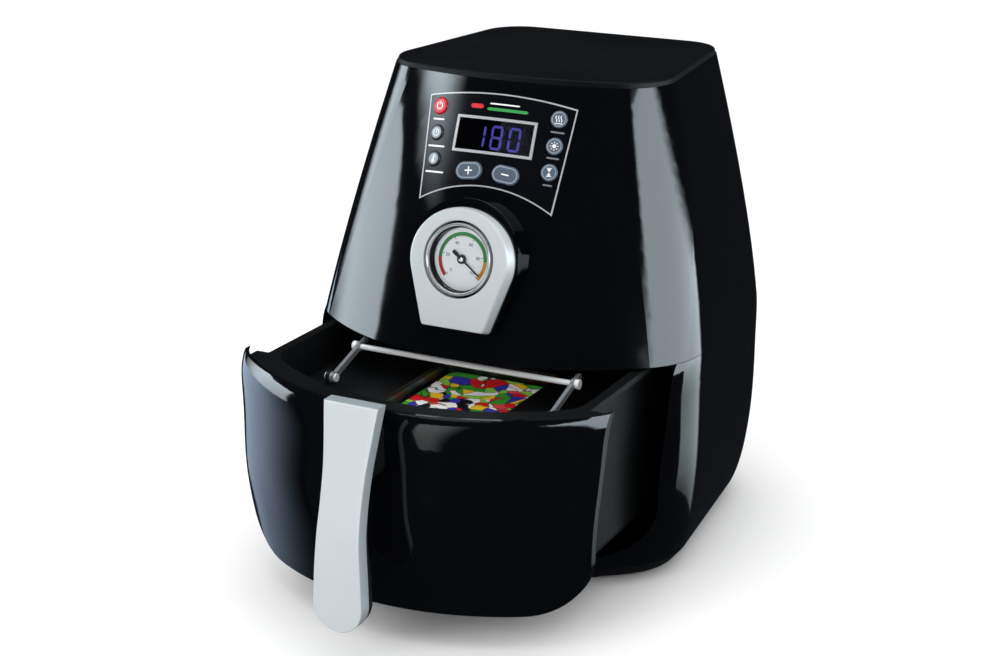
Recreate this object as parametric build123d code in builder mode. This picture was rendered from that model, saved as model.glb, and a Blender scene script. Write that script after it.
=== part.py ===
"""Desktop 3D vacuum sublimation machine: a moulded housing with a pull-out work drawer.

Millimetres.  +X is the machine's right, its front faces -Y and +Z is up.  Every piece is
worked out about the housing's own upright axis and is then moved by to_frame, so that the
origin lies on the table under the middle of the machine with its drawer pulled out.
"""
from build123d import *
import os
from math import acos, asin, atan2, cos, hypot, radians, sin, sqrt, tan

# ---------------------------------------------------------------- housing form
top_height = 330.0         # top of the cover
belt_height = 145.0        # widest level of the housing
split_rise = 11.0
split_height = belt_height + split_rise  # parting line between the two housings
seam_height = 12.0         # parting line between the base and the lower housing
base_bottom = 3.0          # underside of the base, on its feet
belt_half = 143.5          # half width at the belt, at the front shoulders
belt_front = 145.0         # axis to front at the belt
belt_rear = 135.5          # axis to rear wall at the belt
belt_bulge = 69.0          # how far the front arc swells past its shoulders
belt_rear_half = 120.0     # half width at the rear wall
belt_shoulder_radius = 55.0
belt_rear_radius = 60.0
top_half = 104.0
top_front = 64.0
top_rear = 106.0
top_bulge = 19.0
top_rear_half = 86.0
top_shoulder_radius = 36.0
top_rear_radius = 29.0
side_taper = 1.25          # 1 would be straight sides above the belt
front_taper = 0.96
base_scale = 0.82          # size of the outline at the table against the belt
base_round = 3.5           # how late the bowl curves in below the belt
wall = 3.0                 # moulded wall of both housings
fit_gap = 0.3              # between pieces that seat in one another
seam_inset = 1.6           # the base stands back from the housing by this much
base_floor = 3.0
cover_thick = 3.5
cover_inset = 0.6
foot_radius = 11.0
foot_x = 78.0
foot_front = 86.0          # axis to the front feet
foot_rear = 84.0

# ---------------------------------------------------------------- drawer
drawer_out = 100.0         # how far the drawer is pulled out at rest
door_half = 132.5          # half width of the drawer front at its rim
door_bottom = 24.0         # height of its lower edge
door_draw_in = 9.0         # how much narrower each side is at the bottom
door_corner = 36.0
door_wall = 3.5
door_gap = 0.8             # shut line round the drawer front
door_rear = 30.0           # axis to where the drawer front's corners may reach at most
flange_fall = 2.0
flange_top = split_height - flange_fall
flange_thick = 4.0
flange_half = 117.0
ear_half = 126.0           # the flange reaches this far just behind the drawer front
ear_depth = 40.0           # from the shoulders of the flange back to the ears' rear edge
tub_half = 110.0
tub_lip = 20.0             # from the drawer front's outside to the tub's mouth
tub_rear = 70.0            # axis to the tub's mouth at the rear, drawer shut
tub_wall = 2.0
tub_bottom = 38.0
tub_draft = 2.5
tub_corner = 26.0

# ---------------------------------------------------------------- work table in the drawer
table_fall = 26.0          # from the flange down to the work table
table_top = flange_top - table_fall
table_thick = 3.0
pit_half = 42.0
pit_front = 104.0          # axis to the pit's front edge, drawer shut
pit_rear = 36.0            # axis to the pit's rear edge, behind the axis, drawer shut
pit_corner = 5.0
pit_depth = 12.0
bed_top = table_top - pit_depth
bed_thick = 3.0
blank_thick = 4.0
blank_half = 38.0
blank_length = 128.0
seal_width = 3.5
seal_height = 2.0
post_radius = 6.0

# ---------------------------------------------------------------- clamp bail
bail_half = 80.0           # axis to each arm
bail_pivot_front = 57.0    # axis to the pivots, drawer shut
bail_pivot_rise = 8.5      # pivots above the work table
bail_pivot_height = table_top + bail_pivot_rise
bail_reach = 36.0          # pivot to crossbar
bail_tail = 10.0           # arm past the crossbar
bail_angle = 18.0          # arms above level at rest
bail_arm_wide = 2.6
bail_arm_high = 4.0
crossbar_radius = 1.9
pin_radius = 1.6
pin_fit = 0.05

# ---------------------------------------------------------------- handle
handle_rise = 11.0         # the head reaches this far above the parting line
handle_top = split_height + handle_rise
handle_bottom = 26.0
handle_bend = 85.0         # height where the sloping upper part meets the upright part
handle_top_stand = 20.0    # drawer front to the handle's face at the top
handle_low_stand = 42.0    # drawer front to the handle's face below the bend
handle_top_half = 19.0
handle_waist_half = 15.0
handle_neck = 33.0         # from the head down to the waist
handle_waist = handle_top - handle_neck
handle_end_radius = 19.0
handle_cover_thick = 5.0
handle_core_thick = 11.0

# ---------------------------------------------------------------- control panel
panel_fall = 50.0          # from the cover's top down to the panel's origin on the skin
panel_height = top_height - panel_fall
panel_top_half = 54.2
panel_low_half = 49.0
panel_top = 37.4
panel_crown = 41.6
panel_low = -33.2
panel_arch = -20.6
panel_thick = 0.8
trim_width = 0.9
frame_half = 29.3
frame_low = 1.0
frame_high = 25.5
frame_width = 1.8
button_radius = 5.7
small_radius = 5.2
button_gap = 0.25
button_stand = 1.1
button_depth = 7.0
button_travel = 1.0
key_length = 19.6          # the two long keys
key_width = 12.2
key_tilt = 7.0

# ---------------------------------------------------------------- vacuum gauge
gauge_fall = 58.5          # from the panel's origin down to the centre of the dial
gauge_height = panel_height - gauge_fall
gauge_proud = 19.9         # skin to the bezel's face at the dial's centre
gauge_tilt = 12.5          # bezel face against upright
bezel_radius = 34.5
bezel_low_half = 22.0
bezel_drop = 46.2          # dial centre to the bezel's lower edge
bezel_flare = 3.0          # the back of the bezel is this much wider than its face
bezel_thick = 7.0
boss_margin = 2.2
boss_wall = 3.0
ring_radius = 24.5
ring_bore = 20.8
ring_front = 1.6           # bezel face to the ring's front
lens_front = 3.0
lens_thick = 1.2
dial_face = 7.0            # bezel face to the dial
dial_thick = 0.6
case_radius = 22.3
case_depth = 30.0
case_wall = 1.4
needle_length = 16.6
needle_tail = 8.4
needle_angle = -35.6       # from +X, seen from the front
arbor_radius = 0.8

# ---------------------------------------------------------------- inside and rear
rail_fall = 10.5           # how far the rails reach below the flange's top
rail_bottom = flange_top - rail_fall
rail_grip = 4.5            # how far the rails reach over the flange's edge
slide_gap = 0.3
rail_front = 56.0          # rails start this far in front of the axis
deck_thick = 2.0
reflector_radius = 70.0
reflector_high = 30.0
reflector_y = -4.0
element_radius = 52.0
element_wire = 3.2
fan_radius = 40.0
fan_drop = 8.0             # middle of the fan under the top of the heater dome
motor_radius = 27.0
motor_high = 36.0
shaft_radius = 2.5
hose_radius = 3.0
hose_wall = 1.0
pad_face = 137.0           # flat pad for the inlet and the switch at the rear
pad_height = 62.0
pad_half = 46.0
pad_high = 17.0
inlet_x = -20.0
inlet_flange = 2.2
switch_x = 26.0
vent_fall = 68.0           # from the cover's top down to the middle of the vent
vent_height = top_height - vent_fall
vent_half = 42.0
vent_high = 26.0

lower_levels = (
    seam_height + fit_gap,
    28.0,
    60.0,
    belt_height - 40.0,
    belt_height - 17.0,
    belt_height,
    split_height,
)
upper_levels = (
    split_height + fit_gap,
    top_height - 130.0,
    top_height - 85.0,
    top_height - 40.0,
    top_height - cover_thick,
)
machine_front = belt_front + drawer_out + handle_low_stand
machine_rear = pad_face + inlet_flange
to_frame = Location((0, (machine_front - machine_rear) / 2, 0))
drawer_shift = Location((0, -drawer_out, 0))


def save(builder, name, place=Location()):
    """Label a finished piece and write it in the machine's own frame."""
    piece = builder.part.moved(to_frame * place)
    piece.label = name
    export_step(piece, f"parts/{name}.step")


def block(x_span, y_span, z_span):
    """Plain box between the given limits, not yet part of any piece."""
    spans = (x_span, y_span, z_span)
    middle = [(low + high) / 2 for low, high in spans]
    return Pos(*middle) * Box(*[high - low for low, high in spans], mode=Mode.PRIVATE)


# ---------------------------------------------------------------- the housing's outline
def blend(low, high, share):
    """Value that lies a share of the way from low to high."""
    return low + (high - low) * share


def outline_at(height):
    """Half width, front, rear, bulge, rear half width and corner radii at a height."""
    belt = (
        belt_half,
        belt_front,
        belt_rear,
        belt_bulge,
        belt_rear_half,
        belt_shoulder_radius,
        belt_rear_radius,
    )
    if height < belt_height:
        drop = (belt_height - height) / belt_height
        scale = base_scale + (1 - base_scale) * sqrt(1 - drop**base_round)
        return tuple(scale * size for size in belt)
    rise = (height - belt_height) / (top_height - belt_height)
    side = rise**side_taper
    return (
        blend(belt_half, top_half, side),
        blend(belt_front, top_front, rise**front_taper),
        blend(belt_rear, top_rear, side),
        blend(belt_bulge, top_bulge, rise),
        blend(belt_rear_half, top_rear_half, side),
        blend(belt_shoulder_radius, top_shoulder_radius, rise),
        blend(belt_rear_radius, top_rear_radius, rise),
    )


def outline(height, grow=0.0):
    """The housing's plan outline at a height, moved outward by grow."""
    half, front, rear, bulge, rear_half, shoulder_radius, rear_radius = outline_at(height)
    shoulder = bulge - front
    with BuildSketch(Plane.XY.offset(height)) as plan:
        with BuildLine():
            ThreePointArc((-half, shoulder), (0, -front), (half, shoulder))
            Polyline((half, shoulder), (rear_half, rear), (-rear_half, rear), (-half, shoulder))
        make_face()
        fillet(plan.vertices().group_by(Axis.Y)[0], shoulder_radius)
        fillet(plan.vertices().group_by(Axis.Y)[-1], rear_radius)
        if grow:
            offset(amount=grow)
    return plan.sketch


def housing_form(levels, grow=0.0):
    """Solid lofted through the housing's outlines at the given levels."""
    return loft([outline(height, grow) for height in levels])


def skin_y(x, height):
    """Y of the front skin at a place on its arc."""
    half, front, _, bulge, *_ = outline_at(height)
    radius = (half**2 + bulge**2) / (2 * bulge)
    return -front + radius - sqrt(radius**2 - x**2)


def skin_plane(x, height):
    """Plane on the front skin, X level along the skin and Z straight out of it."""
    across = (skin_y(x + 0.5, height) - skin_y(x - 0.5, height))
    rise = (skin_y(x, height + 0.5) - skin_y(x, height - 0.5))
    return Plane(
        origin=(x, skin_y(x, height), height),
        x_dir=(1, across, 0),
        z_dir=(across, -1, rise),
    )


panel_plane = skin_plane(0, panel_height)
panel_lean = asin(panel_plane.z_dir.Z)


def turned(plane, angle):
    """The same plane with its axes turned about its own normal."""
    turn = radians(angle)
    across = plane.x_dir * cos(turn) + plane.y_dir * sin(turn)
    return Plane(origin=plane.origin, x_dir=across, z_dir=plane.z_dir)


def panel_place(x, up):
    """Skin plane at a place that is given on the control panel's flat layout."""
    height = panel_height + up * cos(panel_lean)
    for _ in range(6):
        back = skin_y(x, height) - skin_y(0, panel_height)
        height = panel_height + (up - back * sin(panel_lean)) / cos(panel_lean)
    return skin_plane(x, height)


def over_skin(outer, inner):
    """Layer that follows the upper housing's skin between two depths."""
    return housing_form(upper_levels, outer) - housing_form(upper_levels, inner)


os.makedirs("parts", exist_ok=True)

# ---------------------------------------------------------------- forms used more than once
lower_outside = housing_form(lower_levels)
lower_inside = housing_form((0.0, *lower_levels[1:-1], split_height + 4), -wall)
upper_outside = housing_form(upper_levels)
upper_inside = housing_form((belt_height + 5, *upper_levels[1:-1], top_height), -wall)
lower_lining = housing_form((0.0, *lower_levels[1:-1], split_height + 4), -wall - fit_gap)
door_lining = housing_form((0.0, *lower_levels[1:-1], split_height + 4), -door_wall)
upper_lining = housing_form((belt_height + 5, *upper_levels[1:-1], top_height), -wall - fit_gap)


def door_outline(gap=0.0):
    """Front view of the drawer front, with the shut line's gap added for its opening."""
    low_half = door_half - door_draw_in
    with BuildSketch(Plane.XZ.offset(door_rear)) as front_view:
        with BuildLine():
            Polyline(
                (-door_half - gap, split_height),
                (-low_half - gap, door_bottom - gap),
                (low_half + gap, door_bottom - gap),
                (door_half + gap, split_height),
                (door_half + gap, split_height + 20),
                (-door_half - gap, split_height + 20),
                (-door_half - gap, split_height),
            )
        make_face()
        fillet(front_view.vertices().group_by(Axis.Y)[0], door_corner + gap)
    return front_view.sketch


door_prism = extrude(door_outline(), amount=belt_front + 40)
door_opening = extrude(door_outline(door_gap), amount=belt_front + 40)


def tub_mouth(inset=0.0):
    """Plan of the tub's mouth: an arc behind the drawer front, straight sides and rear."""
    half, front, _, bulge, *_ = outline_at(split_height)
    radius = (half**2 + bulge**2) / (2 * bulge) - tub_lip
    centre_y = -front + tub_lip + radius
    side = tub_half - inset
    arc_radius = radius - inset
    side_y = centre_y - sqrt(arc_radius**2 - side**2)
    rear = tub_rear - inset
    with BuildSketch(Plane.XY) as plan:
        with BuildLine():
            ThreePointArc((-side, side_y), (0, centre_y - arc_radius), (side, side_y))
            Polyline((side, side_y), (side, rear), (-side, rear), (-side, side_y))
        make_face()
        fillet(plan.vertices().group_by(Axis.Y)[0], tub_corner - inset)
        fillet(plan.vertices().group_by(Axis.Y)[-1], tub_corner - inset)
    return plan.sketch


# ---------------------------------------------------------------- base, lower housing, feet
base_levels = (base_bottom, 7.0, seam_height)
base_outside = housing_form(base_levels, -seam_inset)
base_hollow = housing_form((base_bottom + base_floor, 9.0, 20.0), -2 * wall - fit_gap)
board_posts = [(-54, -4), (54, -4), (-54, 64), (54, 64)]
board_under = 12.0         # underside of the power board
base_spigot = housing_form((seam_height, 18.0), -wall - fit_gap) & lower_lining

with BuildPart() as base:
    add(base_outside)
    add(base_spigot)
    add(base_hollow, mode=Mode.SUBTRACT)
    with BuildSketch(Plane.XY.offset(base_bottom)):
        with Locations((0, 78)):
            with GridLocations(0, 7, 1, 5):
                SlotOverall(70, 3)
    extrude(amount=base_floor, mode=Mode.SUBTRACT)
    with BuildSketch(Plane.XY.offset(base_bottom)):
        with Locations((-foot_x, -foot_front), (foot_x, -foot_front)):
            Circle(2.4)
        with Locations((-foot_x, foot_rear), (foot_x, foot_rear)):
            Circle(2.4)
    extrude(amount=base_floor, mode=Mode.SUBTRACT)
    with BuildSketch(Plane.XY.offset(base_bottom + base_floor)):
        with Locations(*board_posts):
            Circle(3.2)
    extrude(amount=board_under - base_bottom - base_floor)

foot_places = [
    (-foot_x, -foot_front),
    (foot_x, -foot_front),
    (-foot_x, foot_rear),
    (foot_x, foot_rear),
]
with BuildPart() as feet:
    with BuildSketch(Plane.XY.offset(base_bottom)):
        with Locations(*foot_places):
            Circle(foot_radius)
    extrude(amount=-base_bottom, taper=14)
    with BuildSketch(Plane.XY.offset(base_bottom)):
        with Locations(*foot_places):
            Circle(2.1)
    extrude(amount=base_floor - 0.4)

with BuildPart() as lower_housing:
    add(lower_outside)
    with BuildSketch(Plane((0, pad_face, pad_height), x_dir=(-1, 0, 0), z_dir=(0, 1, 0))):
        RectangleRounded(2 * pad_half, 2 * pad_high, 5)
    extrude(amount=-12)
    chamfer(lower_housing.faces().sort_by(Axis.Y)[-1].edges(), 0.8)
    add(lower_inside, mode=Mode.SUBTRACT)
    add(door_opening, mode=Mode.SUBTRACT)
    with BuildSketch(Plane((inlet_x, pad_face, pad_height), x_dir=(-1, 0, 0), z_dir=(0, 1, 0))):
        RectangleRounded(28.6, 21.6, 3)
    extrude(amount=-20, mode=Mode.SUBTRACT)
    with BuildSketch(Plane((switch_x, pad_face, pad_height), x_dir=(-1, 0, 0), z_dir=(0, 1, 0))):
        Rectangle(13.4, 19.6)
    extrude(amount=-20, mode=Mode.SUBTRACT)

# ---------------------------------------------------------------- gauge geometry
lean = radians(gauge_tilt)
gauge_plane = Plane(
    origin=(0, skin_y(0, gauge_height) - gauge_proud, gauge_height),
    x_dir=(1, 0, 0),
    z_dir=(0, -cos(lean), sin(lean)),
)


def teardrop(radius, half, drop):
    """Round dial surround with straight flanks down to a level lower edge."""
    reach = hypot(half, drop)
    turn = atan2(-drop, half) + acos(radius / reach)
    touch = (radius * cos(turn), radius * sin(turn))
    with BuildSketch(Plane.XY) as outline_sketch:
        with BuildLine():
            Line((half, -drop), touch)
            ThreePointArc(touch, (0, radius), (-touch[0], touch[1]))
            Polyline((-touch[0], touch[1]), (-half, -drop), (half, -drop))
        make_face()
    return outline_sketch.sketch


def on_gauge(depth):
    """Plane parallel to the bezel's face, this far behind it."""
    return gauge_plane.offset(-depth)


boss_radius = bezel_radius + bezel_flare + boss_margin
boss_half = bezel_low_half + bezel_flare + boss_margin
boss_drop = bezel_drop + 0.6

# ---------------------------------------------------------------- control panel geometry
def panel_sketch(inset=0.0):
    """The control panel's flat layout: crowned top, arched bottom, tapering sides."""
    top_half = panel_top_half - inset
    low_half = panel_low_half - inset
    with BuildSketch(Plane.XY) as layout:
        with BuildLine():
            ThreePointArc(
                (-top_half, panel_top - inset),
                (0, panel_crown - inset),
                (top_half, panel_top - inset),
            )
            Line((top_half, panel_top - inset), (low_half, panel_low + 1.6 * inset))
            ThreePointArc(
                (low_half, panel_low + 1.6 * inset),
                (0, panel_arch + inset),
                (-low_half, panel_low + 1.6 * inset),
            )
            Line((-low_half, panel_low + 1.6 * inset), (-top_half, panel_top - inset))
        make_face()
    return layout.sketch


def through_panel(sketch, front=30.0, depth=30.0):
    """Prism of a flat layout, straight through the control panel's place."""
    return extrude(panel_plane.offset(-depth) * sketch, amount=front + depth)


def rectangle_on_panel(half, low, high, inset=0.0):
    """Level rectangle on the control panel's layout."""
    with BuildSketch(Plane.XY) as layout:
        with Locations((0, (low + high) / 2)):
            Rectangle(2 * (half - inset), high - low - 2 * inset)
    return layout.sketch


button_places = {
    "power_button": (-44.6, 30.0, button_radius),
    "clock_button": (-43.8, 12.0, small_radius),
    "temperature_button": (-42.4, -5.6, small_radius),
    "heat_button": (42.9, 29.6, button_radius),
    "light_button": (42.9, 11.9, button_radius),
    "timer_button": (42.5, -5.4, button_radius),
}
key_places = {"plus_button": -13.4, "minus_button": 13.4}
key_up = -11.0


def button_plane(name):
    """Skin plane under a button, turned for the two long keys."""
    if name in key_places:
        x = key_places[name]
        tilt = key_tilt if x < 0 else -key_tilt
        return turned(panel_place(x, key_up), tilt)
    x, up, _ = button_places[name]
    return panel_place(x, up)


def button_shape(name, plane, grow=0.0):
    """Outline of a button's cap, or of its hole when grown."""
    with BuildSketch(plane) as cap:
        if name in key_places:
            SlotOverall(key_length + 2 * grow, key_width + 2 * grow)
        else:
            Circle(button_places[name][2] + grow)
    return cap.sketch


button_names = [*button_places, *key_places]
button_holes = [
    extrude(button_shape(name, button_plane(name).offset(-12), button_gap), amount=20)
    for name in button_names
]

# ---------------------------------------------------------------- upper housing and cover
boss_face = bezel_thick + 0.2
gauge_boss = extrude(on_gauge(boss_face) * teardrop(boss_radius, boss_half, boss_drop), amount=-40)
gauge_boss_hollow = extrude(
    on_gauge(boss_face + boss_wall)
    * teardrop(boss_radius - boss_wall, boss_half - boss_wall, boss_drop - boss_wall),
    amount=-40,
)
panel_pocket = through_panel(panel_sketch(-0.15)) & over_skin(5, -panel_thick - 0.05)
display_opening = through_panel(rectangle_on_panel(frame_half, frame_low, frame_high, 1.0))
frame_seat = through_panel(rectangle_on_panel(frame_half, frame_low, frame_high, -0.15))

with BuildPart() as upper_housing:
    add(upper_outside)
    add(gauge_boss)
    add(upper_inside, mode=Mode.SUBTRACT)
    add(gauge_boss_hollow, mode=Mode.SUBTRACT)
    with BuildSketch(on_gauge(0)):
        Circle(case_radius + 2.0)
    extrude(amount=-20, mode=Mode.SUBTRACT)
    add(panel_pocket, mode=Mode.SUBTRACT)
    add(display_opening, mode=Mode.SUBTRACT)
    add(button_holes, mode=Mode.SUBTRACT)
    with BuildSketch(Plane((0, top_rear, vent_height), x_dir=(-1, 0, 0), z_dir=(0, 1, 0))):
        RectangleRounded(2 * vent_half, 2 * vent_high, 6)
    extrude(amount=40, both=True, mode=Mode.SUBTRACT)

cover_under = top_height - cover_thick
cover_plate = housing_form((cover_under, top_height - 1.7, top_height), -cover_inset)
cover_spigot = housing_form((cover_under - 5, cover_under), -wall - fit_gap) - housing_form(
    (cover_under - 6, cover_under), -wall - 3
)
with BuildPart() as top_cover:
    add(cover_plate)
    fillet(top_cover.faces().sort_by(Axis.Z)[-1].edges(), 1.2)
    add(cover_spigot)

with BuildPart() as rear_vent:
    with BuildSketch(Plane((0, top_rear + 30, vent_height), x_dir=(-1, 0, 0), z_dir=(0, 1, 0))):
        RectangleRounded(2 * (vent_half - fit_gap), 2 * (vent_high - fit_gap), 6 - fit_gap)
    extrude(amount=-60)
    add(upper_outside, mode=Mode.INTERSECT)
    add(upper_inside, mode=Mode.SUBTRACT)
    with BuildSketch(Plane((0, top_rear + 30, vent_height), x_dir=(-1, 0, 0), z_dir=(0, 1, 0))):
        with GridLocations(0, 7, 1, 7):
            SlotOverall(2 * vent_half - 12, 3.4)
    extrude(amount=-60, mode=Mode.SUBTRACT)

# ---------------------------------------------------------------- control panel pieces
panel_layer = over_skin(0.05, -panel_thick)
trim_layer = over_skin(0.35, 0.05)
frame_layer = over_skin(0.7, -panel_thick)
lens_layer = over_skin(0.2, -1.4)
panel_sheet = through_panel(panel_sketch()) & panel_layer
trim_ring = through_panel(panel_sketch() - panel_sketch(trim_width)) & trim_layer
frame_outer = rectangle_on_panel(frame_half, frame_low, frame_high)
frame_inner = rectangle_on_panel(frame_half, frame_low, frame_high, frame_width)
frame_ring = through_panel(frame_outer - frame_inner) & frame_layer
lens_sheet = (
    through_panel(rectangle_on_panel(frame_half, frame_low, frame_high, frame_width + 0.1))
    & lens_layer
)

with BuildPart() as control_panel:
    add(panel_sheet)
    add(frame_seat, mode=Mode.SUBTRACT)
    add(button_holes, mode=Mode.SUBTRACT)

with BuildPart() as panel_trim:
    add(trim_ring)

with BuildPart() as display_frame:
    add(frame_ring)

with BuildPart() as display_lens:
    add(lens_sheet)

display_mid = (frame_low + frame_high) / 2
digit_high = 14.6
digit_wide = 7.6
digit_pitch = 11.2
segment_wide = 1.3
digit_plane = panel_plane.offset(-3.4)
with BuildPart() as display_module:
    with BuildSketch(digit_plane):
        with Locations((0, display_mid)):
            Rectangle(2 * (frame_half - frame_width) - 3, frame_high - frame_low - 2 * frame_width - 2)
    extrude(amount=-8)

segment_places = {
    "a": (0.0, 0.5, True),
    "b": (0.5, 0.25, False),
    "c": (0.5, -0.25, False),
    "d": (0.0, -0.5, True),
    "e": (-0.5, -0.25, False),
    "f": (-0.5, 0.25, False),
    "g": (0.0, 0.0, True),
}
shown = {-0.5: "bc", 0.6: "abcdefg", 1.6: "abcdef"}
with BuildPart() as display_digits:
    with BuildSketch(digit_plane):
        for digit, lit in shown.items():
            for segment in lit:
                across, up, level = segment_places[segment]
                x = digit * digit_pitch + across * (digit_wide - segment_wide)
                y = display_mid + up * (digit_high - segment_wide)
                length = (digit_wide if level else digit_high / 2) - 2 * segment_wide
                with Locations(Location((x, y, 0), (0, 0, 0 if level else 90))):
                    RectangleRounded(length, segment_wide, 0.5)
    extrude(amount=0.5)

buttons = {}
for name in button_names:
    plane = button_plane(name)
    with BuildPart() as button:
        with BuildSketch(plane.offset(-button_depth)):
            if name in key_places:
                SlotOverall(key_length, key_width)
            else:
                Circle(button_places[name][2])
        extrude(amount=button_depth + button_stand)
        crown = button.faces().sort_by(Axis(plane.origin, plane.z_dir))[-1]
        fillet(crown.edges(), 0.9)
        with BuildSketch(plane.offset(-button_depth)):
            Circle(1.8)
        extrude(amount=-2.0)
    buttons[name] = button

board_depth = 19.0
board_plane = panel_plane.offset(-board_depth)
with BuildPart() as control_board:
    with BuildSketch(board_plane):
        with Locations((0, 3)):
            RectangleRounded(100, 62, 3)
        with GridLocations(92, 0, 2, 1):
            Circle(1.7, mode=Mode.SUBTRACT)
    extrude(amount=-1.6)
    with BuildSketch(board_plane):
        with Locations((0, display_mid)):
            Rectangle(46, 15)
    extrude(amount=board_depth - 3.4 - 8.3)
    with BuildSketch(board_plane.offset(-1.6)):
        with Locations((-24, 2), (18, 8)):
            Rectangle(16, 12)
    extrude(amount=-3)
    for name in button_names:
        plane = button_plane(name)
        reach = plane.origin - plane.z_dir * (button_depth + 2.0 + button_travel + 0.5)
        reach = reach - board_plane.origin
        with BuildSketch(board_plane):
            with Locations((reach.dot(panel_plane.x_dir), reach.dot(panel_plane.y_dir))):
                Rectangle(6, 6)
        extrude(amount=reach.dot(panel_plane.z_dir) - 0.6)

# ---------------------------------------------------------------- vacuum gauge pieces
with BuildPart() as gauge_bezel:
    loft(
        [
            on_gauge(bezel_thick)
            * teardrop(bezel_radius + bezel_flare, bezel_low_half + bezel_flare, bezel_drop + 0.6),
            on_gauge(0) * teardrop(bezel_radius, bezel_low_half, bezel_drop),
        ]
    )
    with BuildSketch(on_gauge(0)):
        Circle(ring_radius + 0.2)
    extrude(amount=-bezel_thick - 1, mode=Mode.SUBTRACT)

with BuildPart() as gauge_ring:
    with BuildSketch(on_gauge(dial_face)):
        Circle(ring_radius)
        Circle(ring_bore + 0.9, mode=Mode.SUBTRACT)
    extrude(amount=dial_face - ring_front)
    with BuildSketch(on_gauge(lens_front)):
        Circle(ring_radius)
        Circle(ring_bore, mode=Mode.SUBTRACT)
    extrude(amount=lens_front - ring_front)
    rim = gauge_ring.faces().sort_by(Axis(gauge_plane.origin, gauge_plane.z_dir))[-1]
    fillet(rim.edges(), 0.6)

with BuildPart() as gauge_lens:
    with BuildSketch(on_gauge(lens_front + 0.05)):
        Circle(ring_bore + 0.8)
    extrude(amount=-lens_thick)

with BuildPart() as gauge_dial:
    with BuildSketch(on_gauge(dial_face)):
        Circle(ring_bore + 0.8)
        Circle(arbor_radius + 0.4, mode=Mode.SUBTRACT)
    extrude(amount=-dial_thick)

with BuildPart() as gauge_case:
    with BuildSketch(on_gauge(dial_face + dial_thick + 0.1)):
        Circle(case_radius + 1.6)
    extrude(amount=-3)
    with BuildSketch(on_gauge(dial_face + dial_thick + 0.1)):
        Circle(case_radius)
    extrude(amount=-case_depth)
    with BuildSketch(on_gauge(dial_face + dial_thick)):
        Circle(case_radius - case_wall)
    extrude(amount=-case_depth + case_wall, mode=Mode.SUBTRACT)
    with BuildSketch(on_gauge(dial_face + dial_thick + case_depth)):
        Circle(4.2)
        Circle(arbor_radius + 0.05, mode=Mode.SUBTRACT)
    extrude(amount=case_depth - 6)

needle_plane = turned(on_gauge(dial_face - 1.4), needle_angle)
with BuildPart() as gauge_needle:
    with BuildSketch(needle_plane):
        Polygon(
            (-needle_tail, -0.9),
            (-needle_tail, 0.9),
            (-2, 0.9),
            (0, 0.75),
            (needle_length, 0.18),
            (needle_length, -0.18),
            (0, -0.75),
            (-2, -0.9),
            align=None,
        )
        Circle(1.9)
    extrude(amount=0.5)
    with BuildSketch(needle_plane):
        Circle(1.3)
    extrude(amount=1.1)
    with BuildSketch(needle_plane):
        Circle(arbor_radius)
    extrude(amount=-14)

stem_depth = dial_face + dial_thick + 0.1 + case_depth
barb_length = 8.0
with BuildPart() as gauge_stem:
    with BuildSketch(on_gauge(stem_depth)):
        RegularPolygon(6.5, 6)
    extrude(amount=-6)
    with BuildSketch(on_gauge(stem_depth + 6)):
        Circle(hose_radius - hose_wall - 0.05)
    extrude(amount=-barb_length)

# ---------------------------------------------------------------- drawer pieces, drawer shut
screw_radius = 1.6
handle_screws_at = (handle_waist - 8.0, handle_waist + 8.0)
with BuildPart() as drawer_front:
    add((lower_outside - door_lining) & door_prism)
    with BuildSketch(Plane.XZ.offset(belt_front + 5)):
        with Locations(*[(0, height) for height in handle_screws_at]):
            Circle(screw_radius + 0.1)
    extrude(amount=-20, mode=Mode.SUBTRACT)


def tub_section(height, grow=0.0):
    """The tub's drafted plan outline at a height."""
    inset = (flange_top - height) * tan(radians(tub_draft)) - grow
    return Plane.XY.offset(height) * tub_mouth(inset)


port_height = bed_top - 11.0
port_radius = 5.0
post_places = [(-88, -50), (88, -50), (-88, 5), (88, 5), (-88, 52), (88, 52)]
flange_low = flange_top - flange_thick
tub_outside = loft([tub_section(tub_bottom, tub_wall), tub_section(flange_low + 1, tub_wall)])
tub_outside = fillet(tub_outside.faces().sort_by(Axis.Z)[0].edges(), 8)
tub_inside = loft([tub_section(tub_bottom + tub_wall), tub_section(flange_top + 1)])
tub_inside = fillet(tub_inside.faces().sort_by(Axis.Z)[0].edges(), 6)
ear_rear = ear_depth - flange_half
flange_blank = block(
    (-flange_half, flange_half), (-belt_front, tub_rear + 6), (flange_low, flange_top)
) + block((-ear_half, ear_half), (-belt_front, ear_rear), (flange_low, flange_top))
tub_flange = flange_blank & door_lining
with BuildPart() as drawer_tub:
    add(tub_flange)
    add(tub_outside)
    add(tub_inside, mode=Mode.SUBTRACT)
    with BuildSketch(Plane.XY.offset(tub_bottom + tub_wall)):
        with Locations(*post_places):
            Circle(post_radius)
    extrude(amount=table_top - table_thick - tub_bottom - tub_wall)
    with BuildSketch(Plane.XZ.offset(-tub_rear - 20)):
        with Locations((0, port_height)):
            Circle(port_radius + 0.3)
    extrude(amount=40, mode=Mode.SUBTRACT)

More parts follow.
